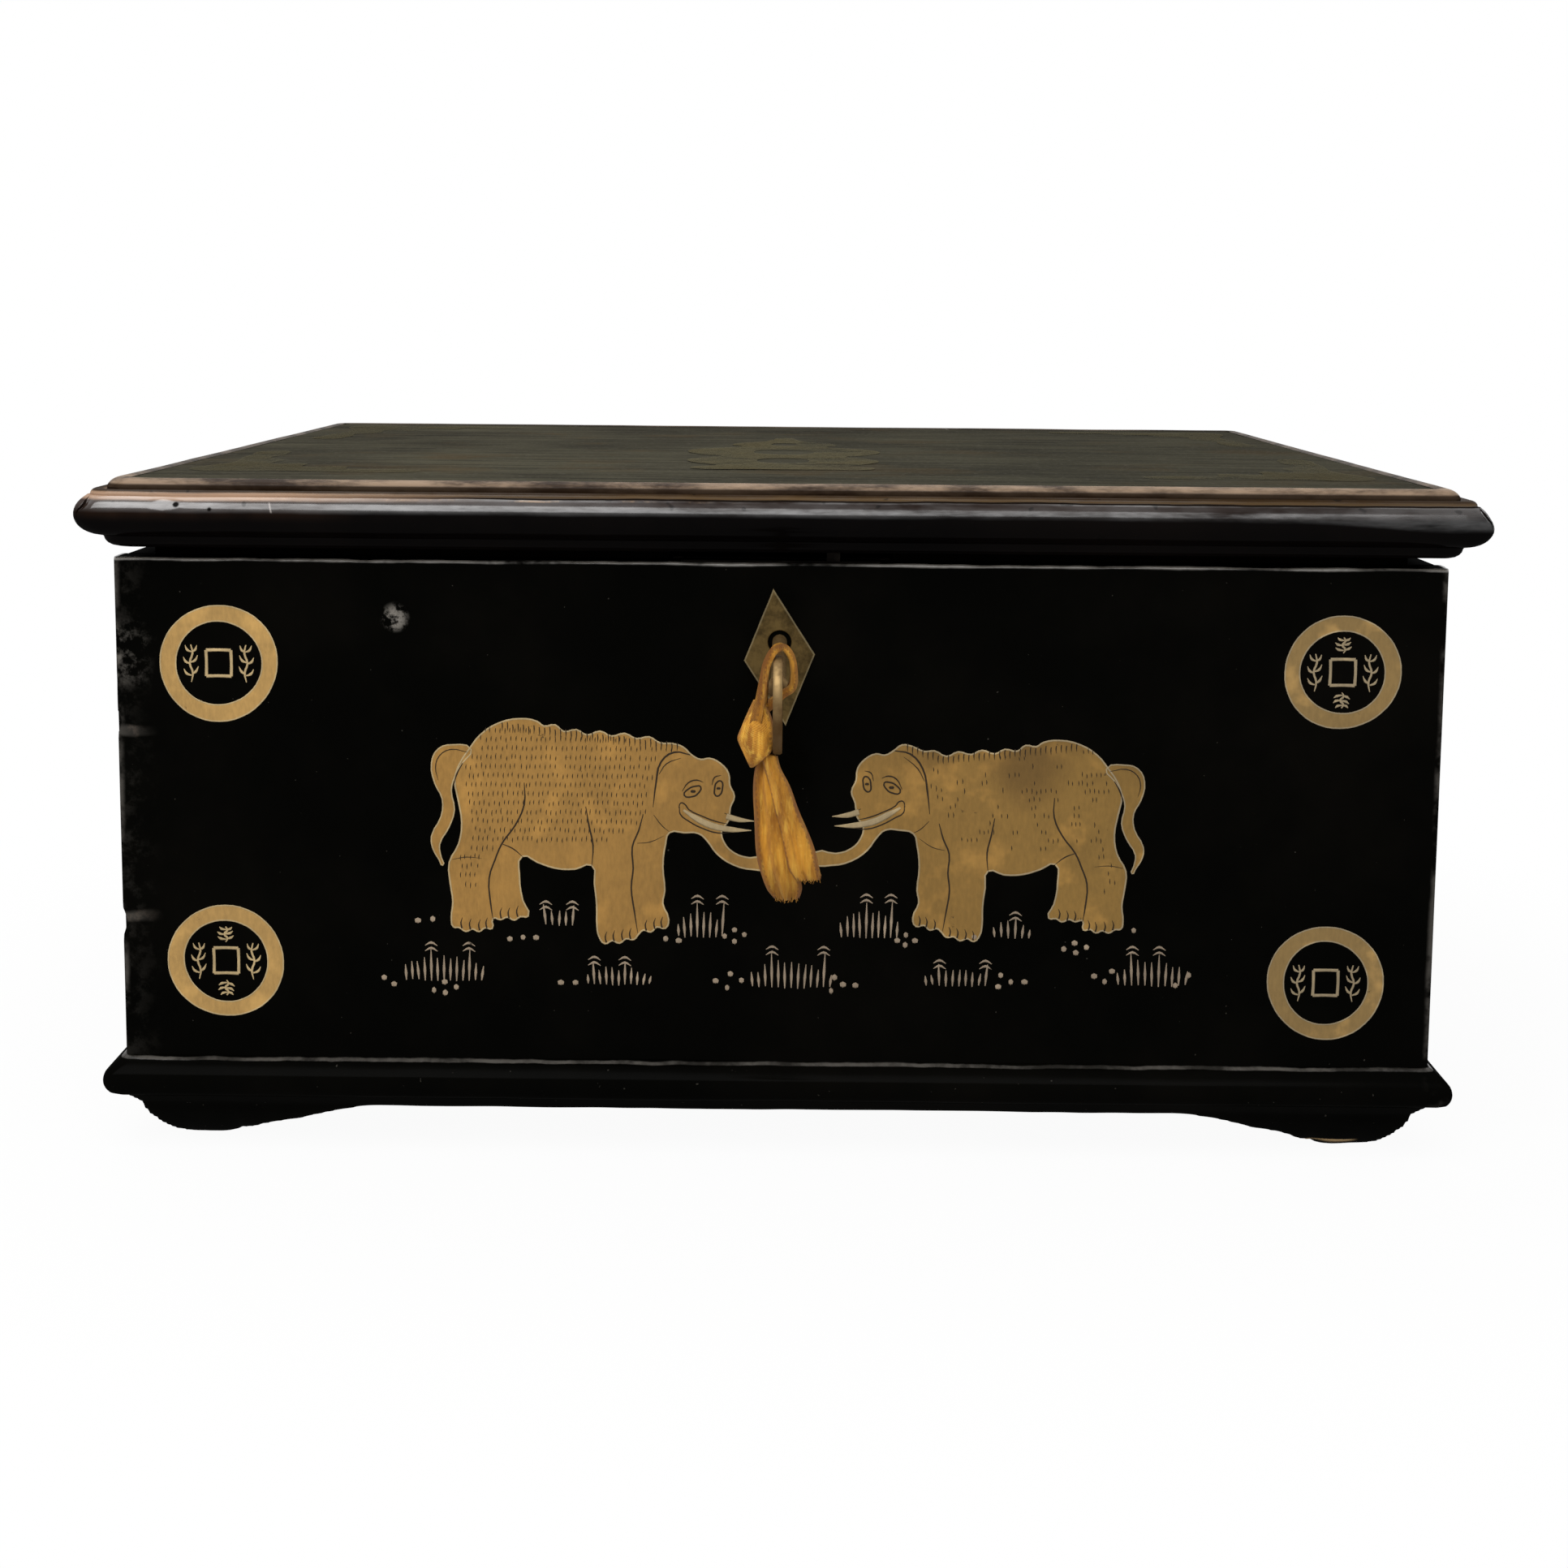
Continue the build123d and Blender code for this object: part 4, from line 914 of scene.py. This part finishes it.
lid_finish = lid_board_finish()
bead_section = [
    (-4.2, -5.0), (-4.2, -0.1), (-3.9, -0.12), (-3.6, -0.55), (-3.3, -0.45),
    *curve_points((-3.3, -0.45), (0.3, -0.15), (2.4, -2.6), 12), (2.4, -2.6), (2.3, -3.4), (1.0, -5.0),
]
for side in sides:
    bead = planed_length(f"lid_bead_{side}", side, lid_top, bead_section, 1.2, corner_spots(180), 1)
    hand_worn(bead, 0.12, lambda p: p.z > lid_top - 3.2 * mm)
    fit(bead, lid_finish, "lid", "lid_lacquer", "lid_board")
counts = {"x_subdivisions": 150, "y_subdivisions": 110}
panel = new_piece(bpy.ops.mesh.primitive_grid_add, "lid_panel", size=2, **counts)
for vertex in panel.data.vertices:
    x = vertex.co.x * (body_half_length - 4.1 * mm)
    y = body_middle + vertex.co.y * (body_half_depth - 4.1 * mm)
    warp = 0.16 * noise.noise(Vector((x * 9, y * 9, 3))) + 0.07 * noise.noise(Vector((x * 40, y * 14, 5)))
    vertex.co = (x, y, lid_top + (warp - 0.22) * mm)
work(panel, "SOLIDIFY", thickness=lid_top - panel_foot - 0.3 * mm)
bpy.ops.object.shade_smooth_by_angle(angle=radians(40))
fit(panel, lid_finish, "lid", "lid_lacquer", "lid_board")


def faded_finish():
    """Gold gone grey, broken up where hands and cloths have rubbed it off."""
    finish = Finish("faded_gilding")
    clouds = finish.cloud(0.03, 5, 0.65, seed=90)
    fine = finish.cloud(0.0016, 3, seed=91)
    left = clouds.between(0.32, 0.6) * 0.65 + fine.between(0.35, 0.6) * 0.3
    return finish.lay(
        base_color=clouds.between(0.3, 0.7).blend((98, 93, 74), (78, 72, 54)),
        roughness=0.6 + fine * 0.1,
        alpha=left * (1 - abs(finish.x).between(0.05, 0.09) * 0.35),
        normal=finish.relief(fine, 0.00008),
    )


# the lid's gilding is rubbed almost away: a lobed medallion in the middle and a spray in each corner,
# both in mm from the front edge
medallion_side = [
    (14, 60), (28, 61), (30, 69), (22, 77), (29, 88), (33, 101), (29, 114), (22, 122), (29, 131),
    (35, 146), (32, 161), (23, 170), (16, 176), (20, 187), (17, 200), (9, 208), (5, 220),
]
medallion = [*medallion_side, (0, 234), *[(-x, y) for x, y in reversed(medallion_side)]]
spray = [
    (0, 0), (26, 2), (50, -1), (70, 4), (60, 12), (46, 11), (42, 22), (30, 20), (26, 34), (17, 32),
    (16, 50), (9, 60), (10, 78), (3, 96), (-1, 70), (2, 40),
]
figure = open_curve("lid_gilding", True, 6)
add_line(figure, [(x, body_front / mm + y) for x, y in medallion])
for half_wide, middle, half_high, count in ((9, 101, 13, 6), (11, 147, 14, 6), (5, 192, 8, 4)):
    turns = [2 * pi * i / count for i in range(count)]
    add_line(figure, [(half_wide * cos(a), body_front / mm + middle + half_high * sin(a)) for a in turns])
for across, inwards, start in ((1, 1, 34), (-1, 1, 34), (1, -1, 298), (-1, -1, 298)):
    add_line(figure, [(across * (x - 184), body_front / mm + start + inwards * y) for x, y in spray])
fit(as_mesh(figure, (mm, mm, mm), place=(0, 0, lid_top + 0.02 * mm)), faded_finish(), "lid", "lid_lacquer")

# ---------------------------------------------------------------- hardware: hinges, lock, strike
# Cast and filed brass butts with steel pins and slotted screws; the lock is blackened iron sheet.


def metal_finish(name, colour, tarnish, rough, spread=0.012, change=None):
    """A worn metal: bright where rubbed, darker and duller in cloudy patches.

    change takes the finish and gives how far each point turns to a second, less metallic colour, and that
    colour: here a painted highlight on the escutcheon's edges and a painted shade at the key bow's foot.
    """
    finish = Finish(name, specular_ior_level=0.1)
    clouds = finish.cloud(spread, 5, 0.65, seed=60)
    fine = finish.cloud(0.0012, 3, seed=61)
    marks = finish.cloud(0.0007, 2, 0.5, stretch=(1, 1, 0.08), seed=62)
    dull = clouds.between(0.35, 0.68)
    tint = dull.blend(colour, tarnish)
    metal = 0.95 - dull * 0.35
    if change is not None:
        share, other = change(finish)
        tint = share.blend(tint, other)
        metal = metal * (1 - share * 0.95)
    relief = finish.relief(fine * 0.5 + marks * 0.4 + clouds * 0.5, 0.00012)
    rough = rough + dull * 0.2 + marks * 0.1
    return finish.lay(base_color=tint, metallic=metal, roughness=rough, normal=relief)


hinge_brass = metal_finish("hinge_brass", (150, 124, 80), (80, 64, 42), 0.4)
leaves = [f"hinge_leaf_{part}_{hand}" for part in ("body", "lid") for hand in ("left", "right")]
coat_node(hinge_brass, *leaves)
lock_iron = metal_finish("lock_iron", (44, 40, 37), (24, 20, 17), 0.5)
coat_node(lock_iron, "lock_case", "lock_cap", "lock_bolt", "strike_plate")
screw_steel = metal_finish("screw_steel", (150, 146, 140), (84, 76, 68), 0.36)
coat_node(screw_steel, "hinge_pin_left", "hinge_pin_right", "hinge_screws_body", "hinge_screws_lid")
coat_node(screw_steel, "lock_cap_screws", "strike_screws")

# ---------------------------------------------------------------- escutcheon
# A diamond cut from thin brass sheet, filed to a bevel all round, pierced for the key and pinned through
# its points. It sits a little askew.
plate_tilt = radians(5.5)
plate_height = 155.3 * mm
plate_half_width, plate_half_height = 10.75 * mm, 21.0 * mm
keyhole_height = 160.0 * mm


def plate_edge_highlight(finish):
    """The plate's filed edges are painted paler than its face, a painted highlight along the bevel."""
    over, up = finish.x, finish.z - plate_height
    along = abs(over * cos(plate_tilt) + up * sin(plate_tilt)) * (1 / plate_half_width)
    rise = abs(up * cos(plate_tilt) - over * sin(plate_tilt)) * (1 / plate_half_height)
    return (along + rise).between(0.93, 0.965) * 0.35, (150, 138, 108)


def cut_edge(curve, places):
    """A closed outline with sharp corners."""
    spline = curve.data.splines.new("POLY")
    spline.points.add(len(places) - 1)
    for point, place in zip(spline.points, places):
        point.co = (*place, 0, 1)
    spline.use_cyclic_u = True


plate_brass = metal_finish("escutcheon_brass", (98, 80, 47), (58, 46, 24), 0.52, 0.006, plate_edge_highlight)
corners = [(0, 1), (1, 0), (0, -1), (-1, 0)]
diamond = []
for start, end in zip(corners, corners[1:] + corners[:1]):
    for i in range(12):
        x, z = Vector(start).lerp(Vector(end), i / 12)
        x, z = x * (plate_half_width - 0.3 * mm), z * (plate_half_height - 0.6 * mm)
        wobble = 1 - 0.012 * abs(noise.noise(Vector((x * 900, z * 900, 2)))) * (i > 0)
        turned_x, turned_z = Matrix.Rotation(plate_tilt, 2) @ Vector((x, z)) * wobble
        diamond.append((turned_x, plate_height + turned_z))
eye_radius, eye_start, slot_half, slot_foot = 3.75 * mm, 0.546, 1.95 * mm, 148.6 * mm
turns = [eye_start - pi / 2 + i * 2 * (pi - eye_start) / 24 for i in range(25)]
piercing = [(eye_radius * cos(turn), keyhole_height + eye_radius * sin(turn)) for turn in turns]
piercing += [(-slot_half, slot_foot), (slot_half, slot_foot)]
plate = open_curve("escutcheon_plate", True, half_thick=0.2 * mm, half_wide=0.24 * mm, roundness=2)
cut_edge(plate, diamond)
cut_edge(plate, piercing)
plate = as_mesh(plate, turn=(pi / 2, 0, 0), place=(0, body_front - 0.45 * mm, 0))
bpy.ops.object.shade_smooth_by_angle(angle=radians(35))
fit(plate, plate_brass, "box", "escutcheon_brass", "escutcheon")
coat_node(plate_brass, "escutcheon_pins")

# ---------------------------------------------------------------- key
# A small wrought steel key with a flat oval bow, a ringed collar and a pierced bit, drooping a little
# in its keyhole. It is filed, then worn bright on the rim of the bow.


def key_painted_shade(finish):
    """The bow is painted darker and browner towards its foot, a painted shade."""
    return finish.z.between(0.162, 0.143) * 0.9, (70, 48, 20)


key_steel = metal_finish("key_steel", (142, 118, 80), (78, 56, 30), 0.42, 0.007, key_painted_shade)
droop = radians(10)
along_key = Vector((0, -cos(droop), -sin(droop)))
across_key = Vector((0, -sin(droop), cos(droop)))
keyhole = Vector((0, body_front, keyhole_height))
bow_reach = 54 * mm
bow_centre = keyhole + along_key * bow_reach
key_turn = Matrix((Vector((1, 0, 0)), across_key, along_key)).transposed().to_4x4()


def turned(name, profile, count):
    """Turn a profile of (radius, height) points in mm about the upright axis."""
    piece = new_piece(bpy.ops.mesh.primitive_circle_add, name, vertices=count, radius=1)
    turns = [2 * pi * i / count for i in range(count)]
    points = [Vector((r * cos(turn), r * sin(turn), h)) * mm for r, h in profile for turn in turns]
    rows = range(0, (len(profile) - 1) * count, count)
    faces = [
        (row + i, row + (i + 1) % count, row + count + (i + 1) % count, row + count + i)
        for row in rows
        for i in range(count)
    ]
    piece.data = bpy.data.meshes.new(name)
    piece.data.from_pydata(points, [], faces)
    close_up(piece)
    bpy.ops.object.shade_smooth_by_angle(angle=radians(40))
    return piece


shank_profile = [
    (0, -13), (1.5, -13), (2.1, -12.6), (2.2, -11.5), (2.2, 34.5), (2.05, 36), (2.5, 36.4), (2.7, 36.9),
    (2.3, 37.5), (2.3, 38.9), (2.9, 39.2), (3.3, 39.8), (3.3, 40.6), (2.9, 41.2), (2.1, 41.6), (1.6, 43),
    (0, 43.2),
]
shank = turned("key_shank", shank_profile, 28)
bow_radius = 11.4 * mm
rims = {"major_radius": bow_radius, "minor_radius": 1.7 * mm, "major_segments": 72, "minor_segments": 14}
bow = new_piece(bpy.ops.mesh.primitive_torus_add, "key_bow", **rims)
for vertex in bow.data.vertices:
    flat = Vector((vertex.co.x, vertex.co.y))
    off = max(-1.6 * mm, min(1.6 * mm, (flat.length - bow_radius) * 1.12))
    high = max(-1.3 * mm, min(1.3 * mm, vertex.co.z * 0.95))
    flat.normalize()
    vertex.co = (high, flat.y * (12.3 * mm + off), flat.x * (10.8 * mm + off) + bow_reach)
bpy.ops.object.shade_smooth_by_angle(angle=radians(50))
bit = open_curve("key_bit", True, half_thick=0.85, half_wide=0.14, roundness=4)
bit_outline = [
    (-1, -11.2), (-1, -7), (-4.2, -7), (-4.2, -8.4), (-5.6, -8.4), (-5.6, -7), (-8.8, -7), (-8.8, -8.2),
    (-7.4, -8.2), (-7.4, -9.2), (-8.8, -9.2), (-8.8, -11.2), (-5.8, -11.2), (-5.8, -10.2), (-4.4, -10.2),
    (-4.4, -11.2),
]
cut_edge(bit, bit_outline)
bit = as_mesh(bit)
for vertex in bit.data.vertices:
    vertex.co = Vector((vertex.co.z, vertex.co.x, vertex.co.y)) * mm
hold(shank, bow, bit)
bpy.ops.object.join()
shank.data.transform(Matrix.Translation(keyhole) @ key_turn)
shank.name = shank.data.name = "key_forged"
fit(shank, key_steel, "key", "key_steel", "key")

# ---------------------------------------------------------------- ribbon
# A woven silk ribbon 10 mm wide, golden yellow with browned edges. It is looped through the bow and
# over its rim, bunched together, and tied in one flat knot; both ends hang in a fold, frayed.


def ribbon_finish():
    """Plain weave along the ribbon's own length, browned and faded at its edges, with painted sheen in pale
    streaks and flecks, and painted shade towards the lower ends.
    """
    finish = Finish("ribbon_silk", specular_ior_level=0.25, sheen_weight=0.08, sheen_roughness=0.4)
    own = finish.node("ShaderNodeUVMap", {"uv_map": "ribbon_length"}, {})
    across, along = finish.parts(own, 2)
    weave = (across * 190).sine() * (along * 12000).sine()
    stains = finish.cloud(0.004, stretch=(1, 1, 0.22), seed=80)
    fine = finish.cloud(0.0012, 3, seed=81)
    fibres_and_sheen = finish.cloud(0.0016, 3, stretch=(1, 1, 0.12), seed=82)
    # painted shade: the ribbon darkens towards its lower ends
    foot = (finish.z + stains * 0.006).between(0.1120, 0.1000)
    edge = abs(across - 0.5)
    stitches = abs(edge - 0.385).between(0.03, 0.012) * fine.between(0.3, 0.55)
    stitches = stitches * (along * 4200).sine().between(-0.4, 0.3)
    colour = stains.between(0.36, 0.62).blend((222, 156, 48), (152, 96, 20)).covered(
        # painted sheen: pale yellow streaks along the fibres and fine pale flecks
        (fibres_and_sheen.between(0.5, 0.68) * 0.6, (242, 190, 76)),
        (fine.between(0.55, 0.75) * 0.25, (246, 204, 104)),
        (foot * 0.6, (104, 66, 12)),
        (edge.between(0.36, 0.44) * (0.35 + 0.6 * fine), (112, 66, 30)),
        (stitches * 0.5, (84, 44, 26)),
        ((0.5 - weave * 0.5) * 0.2, (118, 74, 22)),
    )
    relief = finish.relief(weave * 0.4 + fine * 0.4 + fibres_and_sheen * 0.5 - stitches * 0.4, 0.0002)
    return finish.lay(base_color=colour, roughness=0.5 + fine * 0.2, normal=relief)


def ribbon_strip(name, rows, length):
    """A strip of ribbon from rows of places across it, with its own measure along and across."""
    across = len(rows[0])
    counts = {"x_subdivisions": across - 1, "y_subdivisions": len(rows) - 1}
    strip = new_piece(bpy.ops.mesh.primitive_grid_add, name, **counts)
    layer = strip.data.uv_layers[0]
    layer.name = "ribbon_length"
    for loop in strip.data.loops:
        row, column = divmod(loop.vertex_index, across)
        strip.data.vertices[loop.vertex_index].co = rows[row][column]
        layer.data[loop.index].uv = (column / (across - 1), row / (len(rows) - 1) * length)
    bpy.ops.object.shade_smooth()
    return strip


def smooth_run(knots, share):
    """A value part-way along a list of them, eased between."""
    place = share * (len(knots) - 1)
    i = min(int(place), len(knots) - 2)
    before, start, end, after = (Vector(knots[min(max(i + n, 0), len(knots) - 1)]) for n in (-1, 0, 1, 2))
    t = place - i
    bend, twist = 2 * before - 5 * start + 4 * end - after, 3 * start - before - 3 * end + after
    return 0.5 * (2 * start + (end - before) * t + bend * t * t + twist * t * t * t)


# the loop, as offsets from the middle of the bow: up the left, over the rim, down the right and back
loop_path = [
    (-5.4, -2, -4.5), (-4.6, -2.6, 1), (-3.9, -2.8, 7), (-3.2, -2.4, 12.4), (-1.5, -1.6, 16.2),
    (1.4, -0.8, 17), (3.7, 0.2, 13.6), (4.3, 1.2, 8.4), (3.6, 1.8, 4.6), (0.4, 1.6, 2.2), (-4, 0.4, -1.6),
]
loop_rows = []
for i in range(61):
    share = i / 60
    here = smooth_run(loop_path, share)
    ahead = smooth_run(loop_path, min(1, share + 0.01)) - smooth_run(loop_path, max(0, share - 0.01))
    ahead.normalize()
    wide = Vector((0.62 * cos(pi * min(1, share * 1.25)), 0.80, 0)).normalized()
    wide = (wide - ahead * wide.dot(ahead)).normalized()
    proud = wide.cross(ahead)
    narrow = 1 - 0.42 * min(1, max(0, (share - 0.42) / 0.2))
    row = []
    for t in (j / 16 for j in range(17)):
        spread = (3.3 - sin(pi * share)) * narrow * (t * 2 - 1 + 0.25 * sin(t * 9 + share * 5))
        bulge = 1.2 * cos((t - 0.5) * pi) * narrow + sin(t * pi * 2.2 - 0.4) * (0.6 + 0.4 * narrow)
        row.append(bow_centre + (here + wide * spread + proud * bulge) * mm)
    loop_rows.append(row)
silk_loop = ribbon_strip("ribbon_loop", loop_rows, 0.062)

# the two ends: left edge, right edge and height of each row
rear_end = [
    (-5.6, -0.6, 137), (-6.2, 0.2, 133), (-6.5, 1.2, 128), (-6.5, 2.2, 122), (-6.2, 3.4, 116),
    (-5.6, 4.6, 110), (-4.6, 5.8, 104.6), (-3, 7, 99.6), (-0.6, 6.4, 96.2),
]
front_end = [
    (-4.4, 0.2, 137), (-3.6, 1.2, 133), (-2.6, 3.6, 128), (-1.2, 6, 122), (0.2, 8.4, 116),
    (1.4, 10.6, 110), (2.8, 12, 105.4), (4.6, 12.4, 102.2),
]


def hanging_end(name, knots, depth, outer_left, seed):
    """One end of the ribbon: bellied, with its outer edge rolled over and its foot frayed."""
    rows = []
    for i in range(45):
        left, right_edge, up = smooth_run(knots, i / 44)
        frayed = max(0, (i - 40) / 4)
        row = []
        for j in range(37):
            t = j / 36
            outer = t if outer_left else 1 - t
            roll = sin(min(1, outer / 0.22) * pi) if outer < 0.22 else 0
            belly = 1.7 * sin(pi * (1 - outer) ** 0.8) * min(1, 0.1 + i / 12)
            belly += 0.62 * sin(t * 13 + i * 0.02 + seed) * (0.45 + i / 70) + 0.18 * sin(t * 29 + seed)
            sway = 0.4 * sin(i * 0.14 + seed)
            pull = noise.noise(Vector((j * 0.9, seed, 1)))
            ragged = frayed * (1.5 * pull + 1.6 * (t - 0.5) ** 2)
            x = left + (right_edge - left) * t + 0.15 * sin(i * 0.35 + seed)
            row.append(Vector((x, bow_centre.y / mm + depth - belly - roll + sway, up + ragged)) * mm)
        rows.append(row)
    return ribbon_strip(name, rows, 0.042)


silk_rear = hanging_end("ribbon_rear", rear_end, -1.2, True, 1)
silk_front = hanging_end("ribbon_front", front_end, -2.4, False, 4)

# the knot: rows down it with left edge, right edge, height and half depth; a band lies round it aslant
knot_rows = [
    (-6.8, -4.2, 152, 1.4), (-7.8, -2.8, 149.8, 2.4), (-9, -1.6, 147, 3.2), (-10.4, -1, 143.6, 3.7),
    (-11.1, -0.8, 141.4, 3.9), (-10.3, -0.9, 139.2, 3.8), (-9.2, -2.4, 136.8, 3.2),
    (-8.3, -4.6, 134.8, 2.4), (-7.6, -6.4, 133.4, 1.2),
]
knot_turns = []
for i in range(41):
    left, right_edge, up, half = smooth_run(knot_rows, i / 40)
    row = []
    for j in range(41):
        cx, cy = cos(2 * pi * j / 40), sin(2 * pi * j / 40)
        x = (left + right_edge) / 2 + (right_edge - left) / 2 * abs(cx) ** 0.8 * (1 if cx > 0 else -1)
        slant = (x + 5.6) * 0.62 + (up - 141.5) * 0.78
        puff = 0.55 / (1 + (slant / 3.6) ** 8)
        for crease in (4.6, -4.8):
            puff -= 0.45 / (1 + ((slant - crease) / 0.5) ** 2)
        puff = 1 + puff / max(half, 1) * (0.5 if i in (0, 40) else 1)
        deep = half * abs(cy) ** 0.75 * (1 if cy > 0 else -1) * puff
        row.append(Vector((x, bow_centre.y / mm - 0.8 - deep, up)) * mm)
    knot_turns.append(row)
silk_knot = ribbon_strip("ribbon_knot", knot_turns, 0.02)
close_up(silk_knot)
hold(silk_loop, silk_rear, silk_front)
bpy.ops.object.join()
silk_loop.name = silk_loop.data.name = "ribbon_tied"

# loose threads at the two cut ends
threads = open_curve("ribbon_threads", False, 3, half_wide=0.09 * mm)
for i in range(34):
    t = (i + 0.5) / 34
    shift = noise.noise_vector(Vector((i * 0.73, 2, 5)))
    if i % 2 == 0:
        x, depth, top = -0.2 + 6.4 * t, -2.4, 97.4 + 1.6 * (t - 0.5) ** 2
    else:
        x, depth, top = 5.0 + 7.0 * t, -3.6, 103.4 + 1.2 * (t - 0.5) ** 2
    drop = 1.6 + 1.4 * abs(shift.x)
    y = bow_centre.y / mm + depth + 0.5 * shift.z
    steps = ((0, 1.2), (0.3 * shift.y, -drop * 0.5), (1.1 * shift.z, -drop))
    add_line(threads, [Vector((x + dx, y, top + dz)) * mm for dx, dz in steps], False, [1, 0.7, 0.7])
threads = as_mesh(threads)
thread_finish = Finish("ribbon_thread", specular_ior_level=0.2)
thread_tint = thread_finish.cloud(0.003, 2, 0.5, seed=84).blend((196, 140, 60), (120, 80, 32))
thread_material = thread_finish.lay(base_color=thread_tint, roughness=0.7)
silk = ribbon_finish()
fit(silk_loop, silk, "ribbon", "ribbon_silk", "ribbon")
fit(silk_knot, silk, "ribbon", "ribbon_silk")
fit(threads, thread_material, "ribbon", "ribbon_silk")

# ---------------------------------------------------------------- studio: floor, lamps, camera
# A pale floor under soft lamps; the floor turns to plain white away from the box.


def seen_plainly(layer):
    """1 for rays that look at the studio itself, and 0 for its light on the box."""
    kinds = ("Is Camera Ray", "Is Glossy Ray", "Is Transmission Ray")
    first, second, third = (layer.node("ShaderNodeLightPath", {}, {}, kind) for kind in kinds)
    return first.larger(second).larger(third)


floor = new_piece(bpy.ops.mesh.primitive_plane_add, "studio_floor", size=12)
floor.location.z = -0.1 * mm
floor_finish = Finish("studio_floor")
node = floor_finish.node
reach = node("ShaderNodeVectorMath", {"operation": "LENGTH"}, {0: floor_finish.place}, 1)
plain = node("ShaderNodeBsdfDiffuse", {}, {"Color": (0.82, 0.82, 0.81, 1)})
white = node("ShaderNodeEmission", {}, {"Color": (1, 1, 1, 1), "Strength": 1})
share = seen_plainly(floor_finish.layer) * (0.95 + reach.between(0.26, 0.45) * 0.05)
mix = node("ShaderNodeMixShader", {}, {0: share, 1: plain, 2: white})
floor_tree = floor_finish.layer.tree
floor_tree.nodes.remove(floor_finish.surface)
floor_tree.links.new(mix.socket, floor_tree.nodes["Material Output"].inputs["Surface"])
floor.data.materials.append(floor_finish.material)

world = bpy.context.scene.world or bpy.data.worlds.new("studio")
bpy.context.scene.world = world
world.use_nodes = True
sky = world.node_tree.nodes["Background"].inputs
world.node_tree.links.new((seen_plainly(Layer(world.node_tree)) * 0.5 + 0.5).socket, sky["Strength"])
sky["Color"].default_value = (1, 1, 1, 1)


def soft_lamp(name, place, target, width, length, watts):
    lamp = bpy.data.lights.new(name, "AREA")
    lamp.shape, lamp.size, lamp.size_y, lamp.energy = "RECTANGLE", width, length, watts
    holder = bpy.data.objects.new(name, lamp)
    bpy.context.scene.collection.objects.link(holder)
    holder.location = place
    holder.rotation_euler = (Vector(target) - Vector(place)).to_track_quat("-Z", "Y").to_euler()


soft_lamp("lamp_over", (-0.15, 0.35, 1.25), (0, 0.05, 0.1), 1.2, 0.8, 4.5)
soft_lamp("lamp_front", (-0.25, -0.9, 1.3), (-0.1, -0.1, 0.15), 1.6, 0.8, 17)

camera_data = bpy.data.cameras.new("camera")
camera = bpy.data.objects.new("camera", camera_data)
bpy.context.scene.collection.objects.link(camera)
bpy.context.scene.camera = camera
camera_data.sensor_width, camera_data.lens, camera_data.shift_y = 36, 48.85, -0.15
camera_data.clip_start, camera_data.clip_end = 0.01, 50
yaw, pitch, roll = 0.0048, 0.1105, 0.0085
stand = Matrix.Translation((4.1 * mm, body_front - 631.4 * mm, 258.1 * mm))
pan = Matrix.Rotation(yaw, 4, "Z") @ Matrix.Rotation(pi / 2 - pitch, 4, "X")
camera.matrix_world = stand @ pan @ Matrix.Rotation(roll, 4, "Z")

bpy.context.scene.view_settings.view_transform = "Standard"
